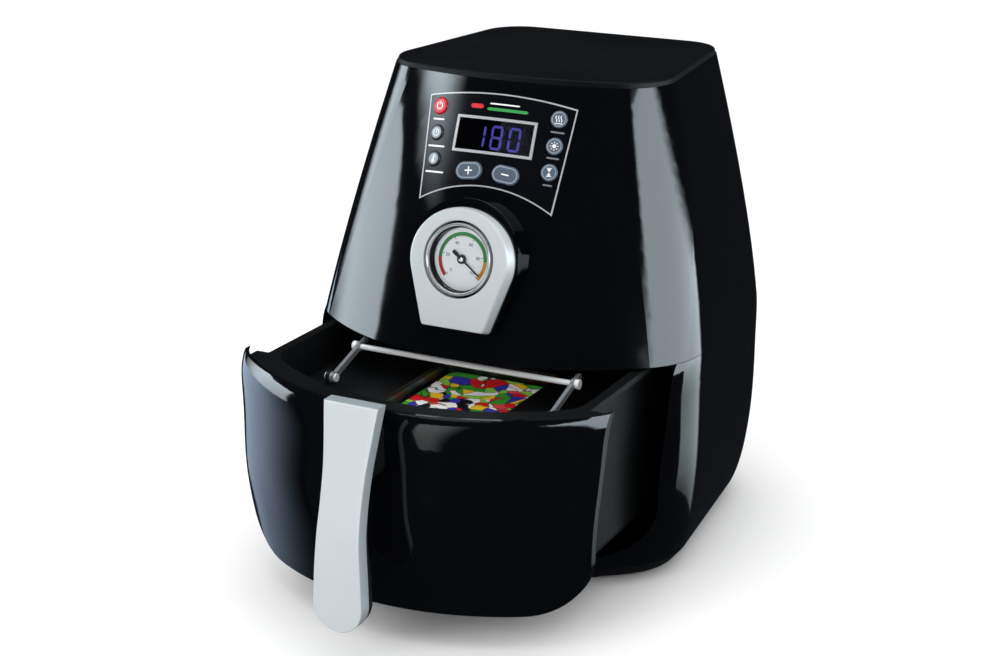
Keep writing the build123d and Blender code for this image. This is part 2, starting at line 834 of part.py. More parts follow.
table_inset = (flange_top - table_top + table_thick) * tan(radians(tub_draft)) + 0.4
pit_middle = (pit_rear - pit_front) / 2
pit_length = pit_rear + pit_front
ear_inner = bail_half + bail_arm_wide / 2 + fit_gap
ear_thick = 2.0
pivot = (-bail_pivot_front, bail_pivot_height)
with BuildPart() as work_table:
    with BuildSketch(Plane.XY.offset(table_top - table_thick)):
        add(tub_mouth(table_inset))
        with Locations((0, pit_middle)):
            RectangleRounded(2 * pit_half, pit_length, pit_corner, mode=Mode.SUBTRACT)
    extrude(amount=table_thick)
    for side in (-1, 1):
        near = side * ear_inner
        with BuildSketch(Plane((near, 0, 0), x_dir=(0, 1, 0), z_dir=(1, 0, 0))):
            with Locations(pivot):
                Circle(4.5)
            with Locations((pivot[0], (pivot[1] + table_top - 1) / 2)):
                Rectangle(9, pivot[1] - table_top + 1)
            with Locations(pivot):
                Circle(pin_radius + 0.02, mode=Mode.SUBTRACT)
        extrude(amount=side * ear_thick)

with BuildPart() as bail_pins:
    for side in (-1, 1):
        for start, end, radius in (
            (bail_half - 3.1, bail_half - 1.6, 2.8),
            (bail_half - 3.1, ear_inner + ear_thick + 1.6, pin_radius),
            (ear_inner + ear_thick + 0.1, ear_inner + ear_thick + 1.6, 2.8),
        ):
            with BuildSketch(Plane((side * start, 0, 0), x_dir=(0, 1, 0), z_dir=(1, 0, 0))):
                with Locations(pivot):
                    Circle(radius)
            extrude(amount=side * (end - start))

bed_half = pit_half + 5
plenum_low = bed_top - 19.0
plenum_span = (pit_middle - 62, pit_middle + 62)
bed_holes = GridLocations(20, 20, 4, 6)
with BuildPart() as vacuum_bed:
    with BuildSketch(Plane.XY.offset(bed_top - bed_thick)):
        with Locations((0, pit_middle)):
            RectangleRounded(2 * bed_half, pit_length + 10, pit_corner + 3)
    extrude(amount=table_top - table_thick - bed_top + bed_thick)
    with BuildSketch(Plane.XY.offset(bed_top)):
        with Locations((0, pit_middle)):
            RectangleRounded(2 * pit_half + 3, pit_length + 3, pit_corner + 1)
    extrude(amount=30, mode=Mode.SUBTRACT)
    with BuildSketch(Plane.XY.offset(bed_top)):
        with Locations((0, pit_middle)):
            with bed_holes:
                Circle(1.5)
    extrude(amount=-bed_thick, mode=Mode.SUBTRACT)

with BuildPart() as vacuum_plenum:
    add(block((-44, 44), plenum_span, (plenum_low, bed_top - bed_thick)))
    fillet(vacuum_plenum.edges().filter_by(Axis.Z), 6)
    inner = (plenum_span[0] + 2.5, plenum_span[1] - 2.5)
    add(block((-41.5, 41.5), inner, (plenum_low + 2.5, bed_top)), mode=Mode.SUBTRACT)
    with BuildSketch(Plane.XZ.offset(-plenum_span[1] + 1.5)):
        with Locations((0, port_height)):
            Circle(port_radius)
    extrude(amount=-(tub_rear + 9.5 - plenum_span[1] + 1.5))
    with BuildSketch(Plane.XZ.offset(-plenum_span[1] + 5)):
        with Locations((0, port_height)):
            Circle(port_radius - 1.5)
    extrude(amount=-60, mode=Mode.SUBTRACT)

blank_middle = pit_rear - 5 - blank_length / 2
with BuildPart() as print_blank:
    with BuildSketch(Plane.XY.offset(bed_top)):
        with Locations((0, blank_middle)):
            RectangleRounded(2 * blank_half, blank_length, 9)
    extrude(amount=blank_thick)
    fillet(print_blank.faces().sort_by(Axis.Z)[-1].edges(), 1.2)

with BuildPart() as pit_seal:
    with BuildSketch(Plane.XY.offset(bed_top)):
        with Locations((0, blank_middle)):
            RectangleRounded(2 * (blank_half + 0.3 + seal_width), blank_length + 7.6, 12)
            RectangleRounded(
                2 * (blank_half + 0.3), blank_length + 0.6, 9.3, mode=Mode.SUBTRACT
            )
    extrude(amount=seal_height)

# ---------------------------------------------------------------- clamp bail at its rest angle
bail_direction = (0, cos(radians(bail_angle)), sin(radians(bail_angle)))
arms = {}
for name, side in (("bail_arm_left", -1), ("bail_arm_right", 1)):
    inner_x = side * bail_half - bail_arm_wide / 2
    with BuildPart() as arm:
        with BuildSketch(Plane((inner_x, *pivot), x_dir=bail_direction, z_dir=(1, 0, 0))):
            Circle(3.6)
            with Locations((bail_reach, 0)):
                Circle(3.4)
            with Locations(((bail_reach + bail_tail) / 2, 0)):
                SlotOverall(bail_reach + bail_tail, bail_arm_high)
            Circle(pin_radius + pin_fit, mode=Mode.SUBTRACT)
            with Locations((bail_reach, 0)):
                Circle(crossbar_radius + 0.02, mode=Mode.SUBTRACT)
        extrude(amount=bail_arm_wide)
    arms[name] = arm

bar_plane = Plane((0, *pivot), x_dir=bail_direction, z_dir=(1, 0, 0))
cap_inner = bail_half + bail_arm_wide / 2 + 0.1
with BuildPart() as crossbar:
    for start, length, radius in (
        (-cap_inner - 1, 2 * cap_inner + 2, crossbar_radius),
        (cap_inner, 3.0, 3.2),
        (-cap_inner, -3.0, 3.2),
    ):
        with BuildSketch(bar_plane.offset(start)):
            with Locations((bail_reach, 0)):
                Circle(radius)
        extrude(amount=length)

# ---------------------------------------------------------------- handle
handle_thick = handle_cover_thick + handle_core_thick
handle_path = (
    (handle_top + 8, handle_top_stand - 3.0),
    (handle_top, handle_top_stand),
    (handle_top - 27.0, 26.5),
    (handle_bend + 18, 36.0),
    (handle_bend, 39.6),
    (47.0, 41.6),
    (handle_bottom - 6, handle_low_stand + 0.1),
)


def handle_outline(inset=0.0):
    """Front view of the handle: flared head, narrow waist and round end."""
    end_height = handle_bottom + handle_end_radius
    neck_height = end_height + 7
    neck_half = sqrt(handle_end_radius**2 - 49)
    with BuildSketch(Plane.XZ) as front_view:
        with BuildLine():
            Polyline(
                (-handle_top_half, handle_top),
                (-handle_waist_half, handle_waist),
                (-handle_waist_half, handle_bend),
                (-neck_half, neck_height),
                (neck_half, neck_height),
                (handle_waist_half, handle_bend),
                (handle_waist_half, handle_waist),
                (handle_top_half, handle_top),
                (-handle_top_half, handle_top),
            )
        make_face()
        fillet(front_view.vertices().group_by(Axis.Y)[-1], 5)
        fillet(front_view.vertices().group_by(Axis.Y)[-3], 60)
        with Locations((0, end_height)):
            Circle(handle_end_radius)
        if inset:
            offset(amount=-inset)
    return front_view.sketch


def handle_band(near, far):
    """Side view band between two depths behind the handle's face."""
    front = [(-belt_front - stand + near, height) for height, stand in handle_path]
    back = [(-belt_front - stand + far, height) for height, stand in reversed(handle_path)]
    with BuildSketch(Plane.YZ) as side_view:
        with BuildLine():
            Spline(*front)
            Line(front[-1], back[0])
            Spline(*back)
            Line(back[-1], front[0])
        make_face()
    return extrude(side_view.sketch, amount=30, both=True)


cover_blank = handle_band(0, handle_cover_thick) & extrude(handle_outline(), amount=220)
with BuildPart() as handle_cover:
    add(cover_blank)
    face = handle_cover.faces().sort_by(Axis.Y)[0]
    fillet(face.edges(), 1.2)

core_blank = handle_band(handle_cover_thick, handle_thick) & extrude(
    handle_outline(0.8), amount=220
)
with BuildSketch(Plane.XZ) as neck_view:
    with Locations((0, handle_waist)):
        RectangleRounded(22, 38, 9)
neck_blank = extrude(neck_view.sketch, amount=220) & handle_band(handle_thick - 3, 90)
with BuildPart() as handle_core:
    add(core_blank)
    add(neck_blank)
    add(lower_outside, mode=Mode.SUBTRACT)
    with BuildSketch(Plane.XZ.offset(belt_front - 5)):
        with Locations(*[(0, height) for height in handle_screws_at]):
            Circle(screw_radius + 0.02)
    extrude(amount=19, mode=Mode.SUBTRACT)

with BuildPart() as handle_screws:
    with BuildSketch(Plane.XZ.offset(belt_front - door_wall - 0.4)):
        with Locations(*[(0, height) for height in handle_screws_at]):
            Circle(screw_radius)
    extrude(amount=16)
    with BuildSketch(Plane.XZ.offset(belt_front - door_wall - 0.4)):
        with Locations(*[(0, height) for height in handle_screws_at]):
            Circle(3.2)
    extrude(amount=-2.4)

# ---------------------------------------------------------------- slides, heater and fan
rail_rear = 85.0
rail_high = split_height
screw_places = [(123, -40), (122, 10), (120.8, 60)]
rails = {}
for name, side in (("slide_rail_left", -1), ("slide_rail_right", 1)):
    near = side * (flange_half - rail_grip)
    slot = side * (flange_half + slide_gap)
    far = side * 150
    rail_blank = block(
        sorted((near, far)), (-rail_front, rail_rear), (rail_bottom, rail_high)
    ) & lower_lining
    rail_slot = block(
        sorted((0, slot)),
        (-rail_front - 1, rail_rear + 1),
        (flange_low - slide_gap, flange_top + slide_gap),
    )
    with BuildPart() as rail:
        add(rail_blank)
        add(rail_slot, mode=Mode.SUBTRACT)
        with BuildSketch(Plane.XY.offset(rail_high)):
            with Locations(*[(side * x, y) for x, y in screw_places]):
                Circle(screw_radius + 0.02)
        extrude(amount=-10, mode=Mode.SUBTRACT)
    rails[name] = rail

deck_low = split_height + fit_gap
deck_top = deck_low + deck_thick
hose_y = 102.0
deck_blank = upper_lining & block((-200, 200), (-200, 200), (deck_low, deck_top))
deck_screw_places = [(side * x, y) for side in (-1, 1) for x, y in screw_places]
element_turns = (10, 350)
element_height = deck_top + 13.7
element_ends = [
    (element_radius * cos(radians(turn)), reflector_y + element_radius * sin(radians(turn)))
    for turn in element_turns
]
with BuildPart() as heater_deck:
    add(deck_blank)
    with BuildSketch(Plane.XY.offset(deck_top)):
        with Locations((0, reflector_y)):
            Circle(reflector_radius - 4)
        with Locations((0, hose_y)):
            Circle(hose_radius + 0.5)
        with Locations(*deck_screw_places):
            Circle(screw_radius + 0.1)
    extrude(amount=-10, mode=Mode.SUBTRACT)

with BuildPart() as deck_screws:
    with BuildSketch(Plane.XY.offset(deck_top + 0.1)):
        with Locations(*deck_screw_places):
            Circle(3.0)
    extrude(amount=2.2)
    with BuildSketch(Plane.XY.offset(deck_top + 0.1)):
        with Locations(*deck_screw_places):
            Circle(screw_radius)
    extrude(amount=-11)

dome_top = deck_top + reflector_high + 1.7
with BuildPart() as reflector:
    with BuildSketch(Plane.XZ.offset(-reflector_y)):
        with BuildLine():
            Polyline(
                (reflector_radius + 6, deck_top),
                (reflector_radius + 6, deck_top + 1.5),
                (reflector_radius - 0.5, deck_top + 1.5),
                (reflector_radius - 3.5, dome_top - 3),
                (reflector_radius - 6.5, dome_top),
                (6, dome_top),
                (6, dome_top - 1.5),
                (reflector_radius - 7.1, dome_top - 1.5),
                (reflector_radius - 5, dome_top - 3.6),
                (reflector_radius - 2, deck_top),
                close=True,
            )
        make_face()
    revolve(axis=Axis((0, reflector_y, 0), (0, 0, 1)))
    with BuildSketch(Plane.XY.offset(dome_top)):
        with Locations(*element_ends):
            Circle(element_wire + 0.3)
    extrude(amount=-5, mode=Mode.SUBTRACT)

with BuildPart() as heating_element:
    with BuildLine(Plane.XY.offset(element_height)) as ring_path:
        CenterArc((0, reflector_y), element_radius, element_turns[0], 340)
    with BuildSketch(ring_path.line ^ 0):
        Circle(element_wire)
    sweep()
    with BuildSketch(Plane.XY.offset(element_height)):
        with Locations(*element_ends):
            Circle(element_wire)
    extrude(amount=dome_top - element_height + 8)
    with Locations(*[(x, y, element_height) for x, y in element_ends]):
        Sphere(element_wire)

with BuildPart() as fan_motor:
    with Locations((0, reflector_y, dome_top)):
        Cylinder(motor_radius, motor_high, align=(Align.CENTER, Align.CENTER, Align.MIN))
        fillet(fan_motor.faces().sort_by(Axis.Z)[-1].edges(), 3)
        Cylinder(
            shaft_radius + 0.05,
            16,
            align=(Align.CENTER, Align.CENTER, Align.MIN),
            mode=Mode.SUBTRACT,
        )

fan_height = dome_top - fan_drop
with BuildPart() as fan:
    with Locations((0, reflector_y, fan_height - 4)):
        Cylinder(9, 7.5, align=(Align.CENTER, Align.CENTER, Align.MIN))
        Cylinder(
            shaft_radius,
            dome_top + 14 - fan_height + 4,
            align=(Align.CENTER, Align.CENTER, Align.MIN),
        )
    for turn in range(0, 360, 60):
        blade = Pos(0, reflector_y, fan_height) * Rot(0, 0, turn) * Pos(fan_radius / 2 + 3, 0, 0)
        add(blade * Rot(35, 0, 0) * Box(fan_radius - 7, 11, 1, mode=Mode.PRIVATE))

# ---------------------------------------------------------------- vacuum pump and its lines
pump_nozzle = deck_top + 23.7
pump_top = deck_top + 35.7
barb_radius = hose_radius - hose_wall - 0.05
with BuildPart() as vacuum_pump:
    add(block((18, 42), (hose_y - 18, hose_y + 18), (deck_top, pump_top)))
    fillet(vacuum_pump.edges().filter_by(Axis.X), 3)
    with BuildSketch(Plane((42, hose_y, deck_top + 17.5), x_dir=(0, 1, 0), z_dir=(1, 0, 0))):
        Circle(16)
    extrude(amount=40)
    add(block((50, 76), (hose_y - 12, hose_y + 12), (deck_top, deck_top + 6)))
    with BuildSketch(Plane((18, hose_y, pump_nozzle), x_dir=(0, 1, 0), z_dir=(1, 0, 0))):
        Circle(barb_radius)
    extrude(amount=-3.8)
    with BuildSketch(Plane.XY.offset(pump_top)):
        with Locations((30, hose_y)):
            Circle(barb_radius)
    extrude(amount=barb_length)

dock_face = tub_rear + 10
dock_top = port_height + 10
dock_arm = block((-10, 10), (dock_face + 4, 150), (port_height - 10, dock_top)) & lower_lining
with BuildPart() as dock_nozzle:
    add(dock_arm)
    with BuildSketch(Plane.XZ.offset(-dock_face)):
        with Locations((0, port_height)):
            Circle(9)
    extrude(amount=-5)
    with BuildSketch(Plane.XZ.offset(-dock_face)):
        with Locations((0, port_height)):
            Circle(3.5)
    extrude(amount=-26, mode=Mode.SUBTRACT)
    with BuildSketch(Plane.XY.offset(dock_top)):
        with Locations((0, hose_y)):
            Circle(barb_radius)
    extrude(amount=9)

hose_bend = 14.0
with BuildPart() as supply_hose:
    with BuildLine(Plane.XZ.offset(-hose_y)) as hose_path:
        Line((0, dock_top + 1), (0, pump_nozzle - hose_bend))
        ThreePointArc(
            (0, pump_nozzle - hose_bend),
            (hose_bend * (1 - sqrt(0.5)), pump_nozzle - hose_bend * (1 - sqrt(0.5))),
            (hose_bend, pump_nozzle),
        )
        Line((hose_bend, pump_nozzle), (17, pump_nozzle))
    with BuildSketch(Plane((0, hose_y, dock_top + 1))):
        Circle(hose_radius)
        Circle(hose_radius - hose_wall, mode=Mode.SUBTRACT)
    sweep()

hose_start = on_gauge(stem_depth + 6.5).origin
hose_end = pump_top + 2.0
stem_direction = -gauge_plane.z_dir
with BuildPart() as gauge_hose:
    with BuildLine() as hose_path:
        Line(hose_start, hose_start + stem_direction * barb_length)
        Spline(
            hose_start + stem_direction * barb_length,
            (44, -44, pump_top + 13),
            (66, 40, pump_top + 13),
            (30, hose_y, hose_end + barb_length),
            tangents=(stem_direction, (0, 0, -1)),
        )
        Line((30, hose_y, hose_end + barb_length), (30, hose_y, hose_end))
    with BuildSketch(Plane(hose_start, z_dir=stem_direction)):
        Circle(hose_radius)
    sweep()
    with BuildSketch(Plane(hose_start, z_dir=stem_direction)):
        Circle(hose_radius - hose_wall)
    sweep(path=hose_path.wire(), mode=Mode.SUBTRACT)

# ---------------------------------------------------------------- power board, inlet, switch
with BuildPart() as power_board:
    add(block((-60, 60), (-10, 70), (board_under, board_under + 1.6)))
    fillet(power_board.edges().filter_by(Axis.Z), 3)
    board_top = board_under + 1.6
    add(block((-44, -8), (8, 48), (board_top, 33)))
    add(block((30, 50), (38, 54), (board_top, 30)))
    with BuildSketch(Plane.XY.offset(board_top)):
        with Locations((6, 4), (26, 4), (46, 4)):
            Circle(7)
    extrude(amount=17)

rear_plane = Plane((0, pad_face, pad_height), x_dir=(-1, 0, 0), z_dir=(0, 1, 0))
with BuildPart() as power_inlet:
    with BuildSketch(rear_plane):
        with Locations((-inlet_x, 0)):
            RectangleRounded(33, 26, 4)
    extrude(amount=inlet_flange)
    fillet(power_inlet.faces().sort_by(Axis.Y)[-1].edges(), 0.8)
    with BuildSketch(rear_plane):
        with Locations((-inlet_x, 0)):
            RectangleRounded(28, 21, 2.7)
    extrude(amount=-18)
    with BuildSketch(rear_plane.offset(inlet_flange)):
        with Locations((-inlet_x, 0)):
            RectangleRounded(23, 16, 3)
    extrude(amount=-15 - inlet_flange, mode=Mode.SUBTRACT)

with BuildPart() as inlet_pins:
    with BuildSketch(rear_plane.offset(-15)):
        with Locations((-inlet_x - 7, -1.5), (-inlet_x + 7, -1.5), (-inlet_x, 3)):
            Rectangle(2, 4)
    extrude(amount=13)
    chamfer(inlet_pins.faces().sort_by(Axis.Y)[-3:].edges(), 0.4)

rocker_pin = 1.2
rocker_pin_out = 0.9
rocker_pivot = (pad_face - 3.0, pad_height)
with BuildPart() as switch_frame:
    with BuildSketch(rear_plane):
        with Locations((-switch_x, 0)):
            RectangleRounded(16.6, 23, 1.5)
    extrude(amount=1.5)
    fillet(switch_frame.faces().sort_by(Axis.Y)[-1].edges(), 0.5)
    with BuildSketch(rear_plane):
        with Locations((-switch_x, 0)):
            Rectangle(12.8, 19)
    extrude(amount=-15)
    with BuildSketch(rear_plane.offset(1.5)):
        with Locations((-switch_x, 0)):
            Rectangle(10.6, 16.6)
    extrude(amount=-13.5, mode=Mode.SUBTRACT)
    with BuildSketch(Plane((switch_x, *rocker_pivot), x_dir=(0, 1, 0), z_dir=(1, 0, 0))):
        Circle(rocker_pin + pin_fit)
    extrude(amount=5.3 + 0.8, both=True, mode=Mode.SUBTRACT)

rocker_tilt = 6.0
rocker_lean = Plane(
    (switch_x - 5.0, *rocker_pivot),
    x_dir=(0, cos(radians(rocker_tilt)), sin(radians(rocker_tilt))),
    z_dir=(1, 0, 0),
)
with BuildPart() as switch_rocker:
    with BuildSketch(rocker_lean):
        Polygon(
            (4.0, -7.6),
            (3.2, 0),
            (4.0, 7.6),
            (-1.0, 7.6),
            (-5.0, 2.5),
            (-5.0, -2.5),
            (-1.0, -7.6),
            align=None,
        )
    extrude(amount=10)
    fillet(switch_rocker.edges().filter_by(Axis.X).group_by(Axis.Y)[-1], 0.4)
    with BuildSketch(rocker_lean.offset(-rocker_pin_out)):
        Circle(rocker_pin)
    extrude(amount=10 + 2 * rocker_pin_out)

# ---------------------------------------------------------------- the pieces, each in a file
fixed_pieces = {
    "base": base,
    "feet": feet,
    "lower_housing": lower_housing,
    "upper_housing": upper_housing,
    "top_cover": top_cover,
    "rear_vent": rear_vent,
    "control_panel": control_panel,
    "panel_trim": panel_trim,
    "display_frame": display_frame,
    "display_lens": display_lens,
    "display_module": display_module,
    "display_digits": display_digits,
    **buttons,
    "control_board": control_board,
    "gauge_bezel": gauge_bezel,
    "gauge_ring": gauge_ring,
    "gauge_lens": gauge_lens,
    "gauge_dial": gauge_dial,
    "gauge_case": gauge_case,
    "gauge_needle": gauge_needle,
    "gauge_stem": gauge_stem,
    **rails,
    "heater_deck": heater_deck,
    "deck_screws": deck_screws,
    "reflector": reflector,
    "heating_element": heating_element,
    "fan_motor": fan_motor,
    "fan": fan,
    "vacuum_pump": vacuum_pump,
    "dock_nozzle": dock_nozzle,
    "supply_hose": supply_hose,
    "gauge_hose": gauge_hose,
    "power_board": power_board,
    "power_inlet": power_inlet,
    "inlet_pins": inlet_pins,
    "switch_frame": switch_frame,
    "switch_rocker": switch_rocker,
}
drawer_pieces = {
    "drawer_front": drawer_front,
    "drawer_tub": drawer_tub,
    "work_table": work_table,
    "bail_pins": bail_pins,
    "vacuum_bed": vacuum_bed,
    "vacuum_plenum": vacuum_plenum,
    "pit_seal": pit_seal,
    "print_blank": print_blank,
    "handle_core": handle_core,
    "handle_cover": handle_cover,
    "handle_screws": handle_screws,
    **arms,
    "crossbar": crossbar,
}
for name, builder in fixed_pieces.items():
    save(builder, name)
for name, builder in drawer_pieces.items():
    save(builder, name, drawer_shift)
print(len(fixed_pieces) + len(drawer_pieces), "pieces written")
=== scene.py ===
# %% [markdown]
# The scene dresses a desktop 3D vacuum sublimation machine: a rounded black housing, a drawer
# that is pulled out, a silver handle, a clamp bail over the print, a dial gauge and a control
# panel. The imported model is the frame. It is loaded first and never moved, and its box is kept
# so that the finished pieces can be measured against it.
# %% The frame
from math import acos, atan2, cos, degrees, hypot, pi, radians, sin, sqrt, tan

import bmesh
import bpy
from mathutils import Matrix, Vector


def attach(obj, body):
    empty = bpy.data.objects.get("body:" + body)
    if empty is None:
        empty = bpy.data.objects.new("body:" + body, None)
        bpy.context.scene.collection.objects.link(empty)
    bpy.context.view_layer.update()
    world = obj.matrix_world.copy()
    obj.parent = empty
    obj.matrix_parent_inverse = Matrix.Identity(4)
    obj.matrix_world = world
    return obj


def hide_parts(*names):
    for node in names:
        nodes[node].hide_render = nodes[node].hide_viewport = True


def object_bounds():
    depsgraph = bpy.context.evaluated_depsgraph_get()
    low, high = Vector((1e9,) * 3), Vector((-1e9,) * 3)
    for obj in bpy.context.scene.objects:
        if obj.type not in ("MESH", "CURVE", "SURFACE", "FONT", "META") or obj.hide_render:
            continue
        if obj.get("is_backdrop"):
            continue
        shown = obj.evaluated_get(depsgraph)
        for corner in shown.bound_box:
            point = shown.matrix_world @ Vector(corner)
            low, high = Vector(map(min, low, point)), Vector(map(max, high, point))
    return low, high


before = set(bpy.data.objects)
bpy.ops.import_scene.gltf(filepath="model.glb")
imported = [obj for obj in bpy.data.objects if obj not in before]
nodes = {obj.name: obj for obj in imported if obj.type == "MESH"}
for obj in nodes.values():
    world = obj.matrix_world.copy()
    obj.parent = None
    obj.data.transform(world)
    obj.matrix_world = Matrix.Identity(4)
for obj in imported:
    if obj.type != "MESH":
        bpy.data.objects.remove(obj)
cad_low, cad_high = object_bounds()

print("frame", [round(v * 1000, 1) for v in (cad_high - cad_low)], "mm")

# %% [markdown]
# All the sizes below are in millimetres about the housing's own upright axis, with the drawer
# shut. One small function turns them into the frame's metres, and pushes the drawer's pieces out
# to where they are at rest. Working this way keeps every number readable on the real machine.
# %% Places
AXIS_BACK = 73.9
DRAWER_OUT = 100.0


def place(x, y, z, drawer=False):
    """A point on the machine in the frame's metres."""
    shift = AXIS_BACK - (DRAWER_OUT if drawer else 0.0)
    return Vector((x, y + shift, z)) / 1000


def add_mesh(name, points, faces, body, finish, drawer=False, smooth=30.0):
    """A new piece from points in millimetres; it rides on a body and carries a finish."""
    mesh = bpy.data.meshes.new(name)
    mesh.from_pydata([place(*p, drawer) for p in points], [], faces)
    work = bmesh.new()
    work.from_mesh(mesh)
    bmesh.ops.remove_doubles(work, verts=work.verts, dist=1e-6)
    bmesh.ops.dissolve_degenerate(work, edges=work.edges, dist=1e-7)
    bmesh.ops.recalc_face_normals(work, faces=work.faces)
    work.to_mesh(mesh)
    work.free()
    piece = bpy.data.objects.new(name, mesh)
    bpy.context.collection.objects.link(piece)
    mesh.shade_smooth()
    mesh.set_sharp_from_angle(angle=radians(smooth))
    mesh.materials.append(finish[0])
    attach(piece, body)
    return piece


def soften(piece, width, segments=3, angle=35.0):
    """Rounded edges: real moulded and pressed edges always catch a line of light."""
    bevel = piece.modifiers.new("rounded edges", "BEVEL")
    bevel.width = width / 1000
    bevel.segments = segments
    bevel.limit_method = "ANGLE"
    bevel.angle_limit = radians(angle)
    bevel.harden_normals = True
    return piece


print("the drawer rests", DRAWER_OUT, "mm out")


# %% [markdown]
# The housing's plan is an arc in front, two rounded shoulders, straight flanks and a rear wall
# with rounded corners, and it shrinks towards the top. The outline is worked out from its radii
# at any height, so that print and buttons can be laid exactly on the curved front skin. The same
# cell has the small function that turns a pile of rings into a skin.
# %% The housing's outline
BELT, TOP = 145.0, 330.0
BELT_SIZES = (143.5, 145.0, 135.5, 69.0, 120.0, 55.0)
TOP_SIZES = (104.0, 64.0, 106.0, 19.0, 86.0, 36.0)
SIDE_TAPER, FRONT_TAPER = 1.25, 0.96
BASE_SCALE, BASE_ROUND = 0.82, 3.5


def sizes_at(z):
    """Half width, front, rear, bulge, rear half width and shoulder radius at a height."""
    if z < BELT:
        drop = (BELT - z) / BELT
        scale = BASE_SCALE + (1 - BASE_SCALE) * sqrt(max(0.0, 1 - drop**BASE_ROUND))
        return [scale * s for s in BELT_SIZES]
    rise = (z - BELT) / (TOP - BELT)
    side, front = rise**SIDE_TAPER, rise**FRONT_TAPER
    shares = (side, front, side, rise, side, rise)
    return [a + (b - a) * s for a, b, s in zip(BELT_SIZES, TOP_SIZES, shares)]


def outline_parts(z):
    """The front arc's radius and centre, the shoulder's, and the turns where each one ends."""
    half, front, rear, bulge, rear_half, shoulder_radius = sizes_at(z)
    shoulder = bulge - front
    big = (half**2 + bulge**2) / (2 * bulge)
    arc_y = -front + big
    run = Vector((rear_half - half, rear - shoulder)).normalized()
    out = Vector((run.y, -run.x))
    start = Vector((half, shoulder)) - out * shoulder_radius
    to_arc = start - Vector((0, arc_y))
    b = to_arc.dot(run)
    c = to_arc.length_squared - (big - shoulder_radius) ** 2
    centre = start + run * (-b - sqrt(b * b - c))
    front_turn = atan2(centre.x, -(centre.y - arc_y))
    side_turn = atan2(out.y, out.x)
    return big, arc_y, centre, shoulder_radius, front_turn, side_turn


def front_y(x, z):
    """Where the front skin is at a place across and a height."""
    big, arc_y, centre, radius, front_turn, side_turn = outline_parts(z)
    x = abs(x)
    if x <= big * sin(front_turn):
        return arc_y - sqrt(big**2 - x**2)
    over = min(1.0, (x - centre.x) / radius)
    side_x = centre.x + radius * cos(side_turn)
    side_y = centre.y + radius * sin(side_turn)
    if x <= side_x or over < 1:
        y = centre.y - radius * sqrt(max(0.0, 1 - over**2))
        if y <= side_y:
            return y
    slope = Vector((-sin(side_turn), cos(side_turn)))
    return side_y + (x - side_x) / slope.x * slope.y


def stack(rings, close=False, cap_low=False, cap_high=False):
    """Points and faces of rings laid on top of each other."""
    count = len(rings[0])
    points = [p for ring in rings for p in ring]
    faces = []
    levels = len(rings) - (0 if close else 1)
    for k in range(levels):
        a, b = k * count, ((k + 1) % len(rings)) * count
        for i in range(count):
            j = (i + 1) % count
            faces.append((a + i, a + j, b + j, b + i))
    if cap_low:
        faces.append(tuple(reversed(range(count))))
    if cap_high:
        faces.append(tuple(range(len(points) - count, len(points))))
    return points, faces


print("front skin at the belt", round(front_y(0, BELT), 1), "and at 280 mm", round(front_y(0, 280), 1))

# %% [markdown]
# Every finish has something that changes over the surface, such as moulding texture and dust. They
# share one node group, which mixes two noises into a colour, a roughness and a bump. Each material
# sets its own values, so that the black gloss stays nearly perfect while the rubber feet look chalky.
# %% Wear group
def new_group(name, inputs, outputs):
    """A shader node group with its sockets made, and its input and output nodes."""
    group = bpy.data.node_groups.new(name, "ShaderNodeTree")
    for kind, label, value in inputs:
        socket = group.interface.new_socket(label, in_out="INPUT", socket_type=kind)
        socket.default_value = value
    for kind, label in outputs:
        group.interface.new_socket(label, in_out="OUTPUT", socket_type=kind)
    return group, group.nodes.new("NodeGroupInput"), group.nodes.new("NodeGroupOutput")


COLOUR, NUMBER, ARROW = "NodeSocketColor", "NodeSocketFloat", "NodeSocketVector"


def link(group, *pairs):
    """Joins sockets of a node tree, given as (node, socket name, node, socket name)."""
    for a, out, b, inn in pairs:
        group.links.new(a.outputs[out], b.inputs[inn])


def colour_mix(group, factor, low, high):
    """A Mix node on colours; low and high are output sockets. Gives its colour output."""
    mix = group.nodes.new("ShaderNodeMix")
    mix.data_type = "RGBA"
    colours = [s for s in mix.inputs if s.type == "RGBA"]
    group.links.new(factor, mix.inputs["Factor"])
    group.links.new(low, colours[0])
    group.links.new(high, colours[1])
    return next(s for s in mix.outputs if s.type == "RGBA")


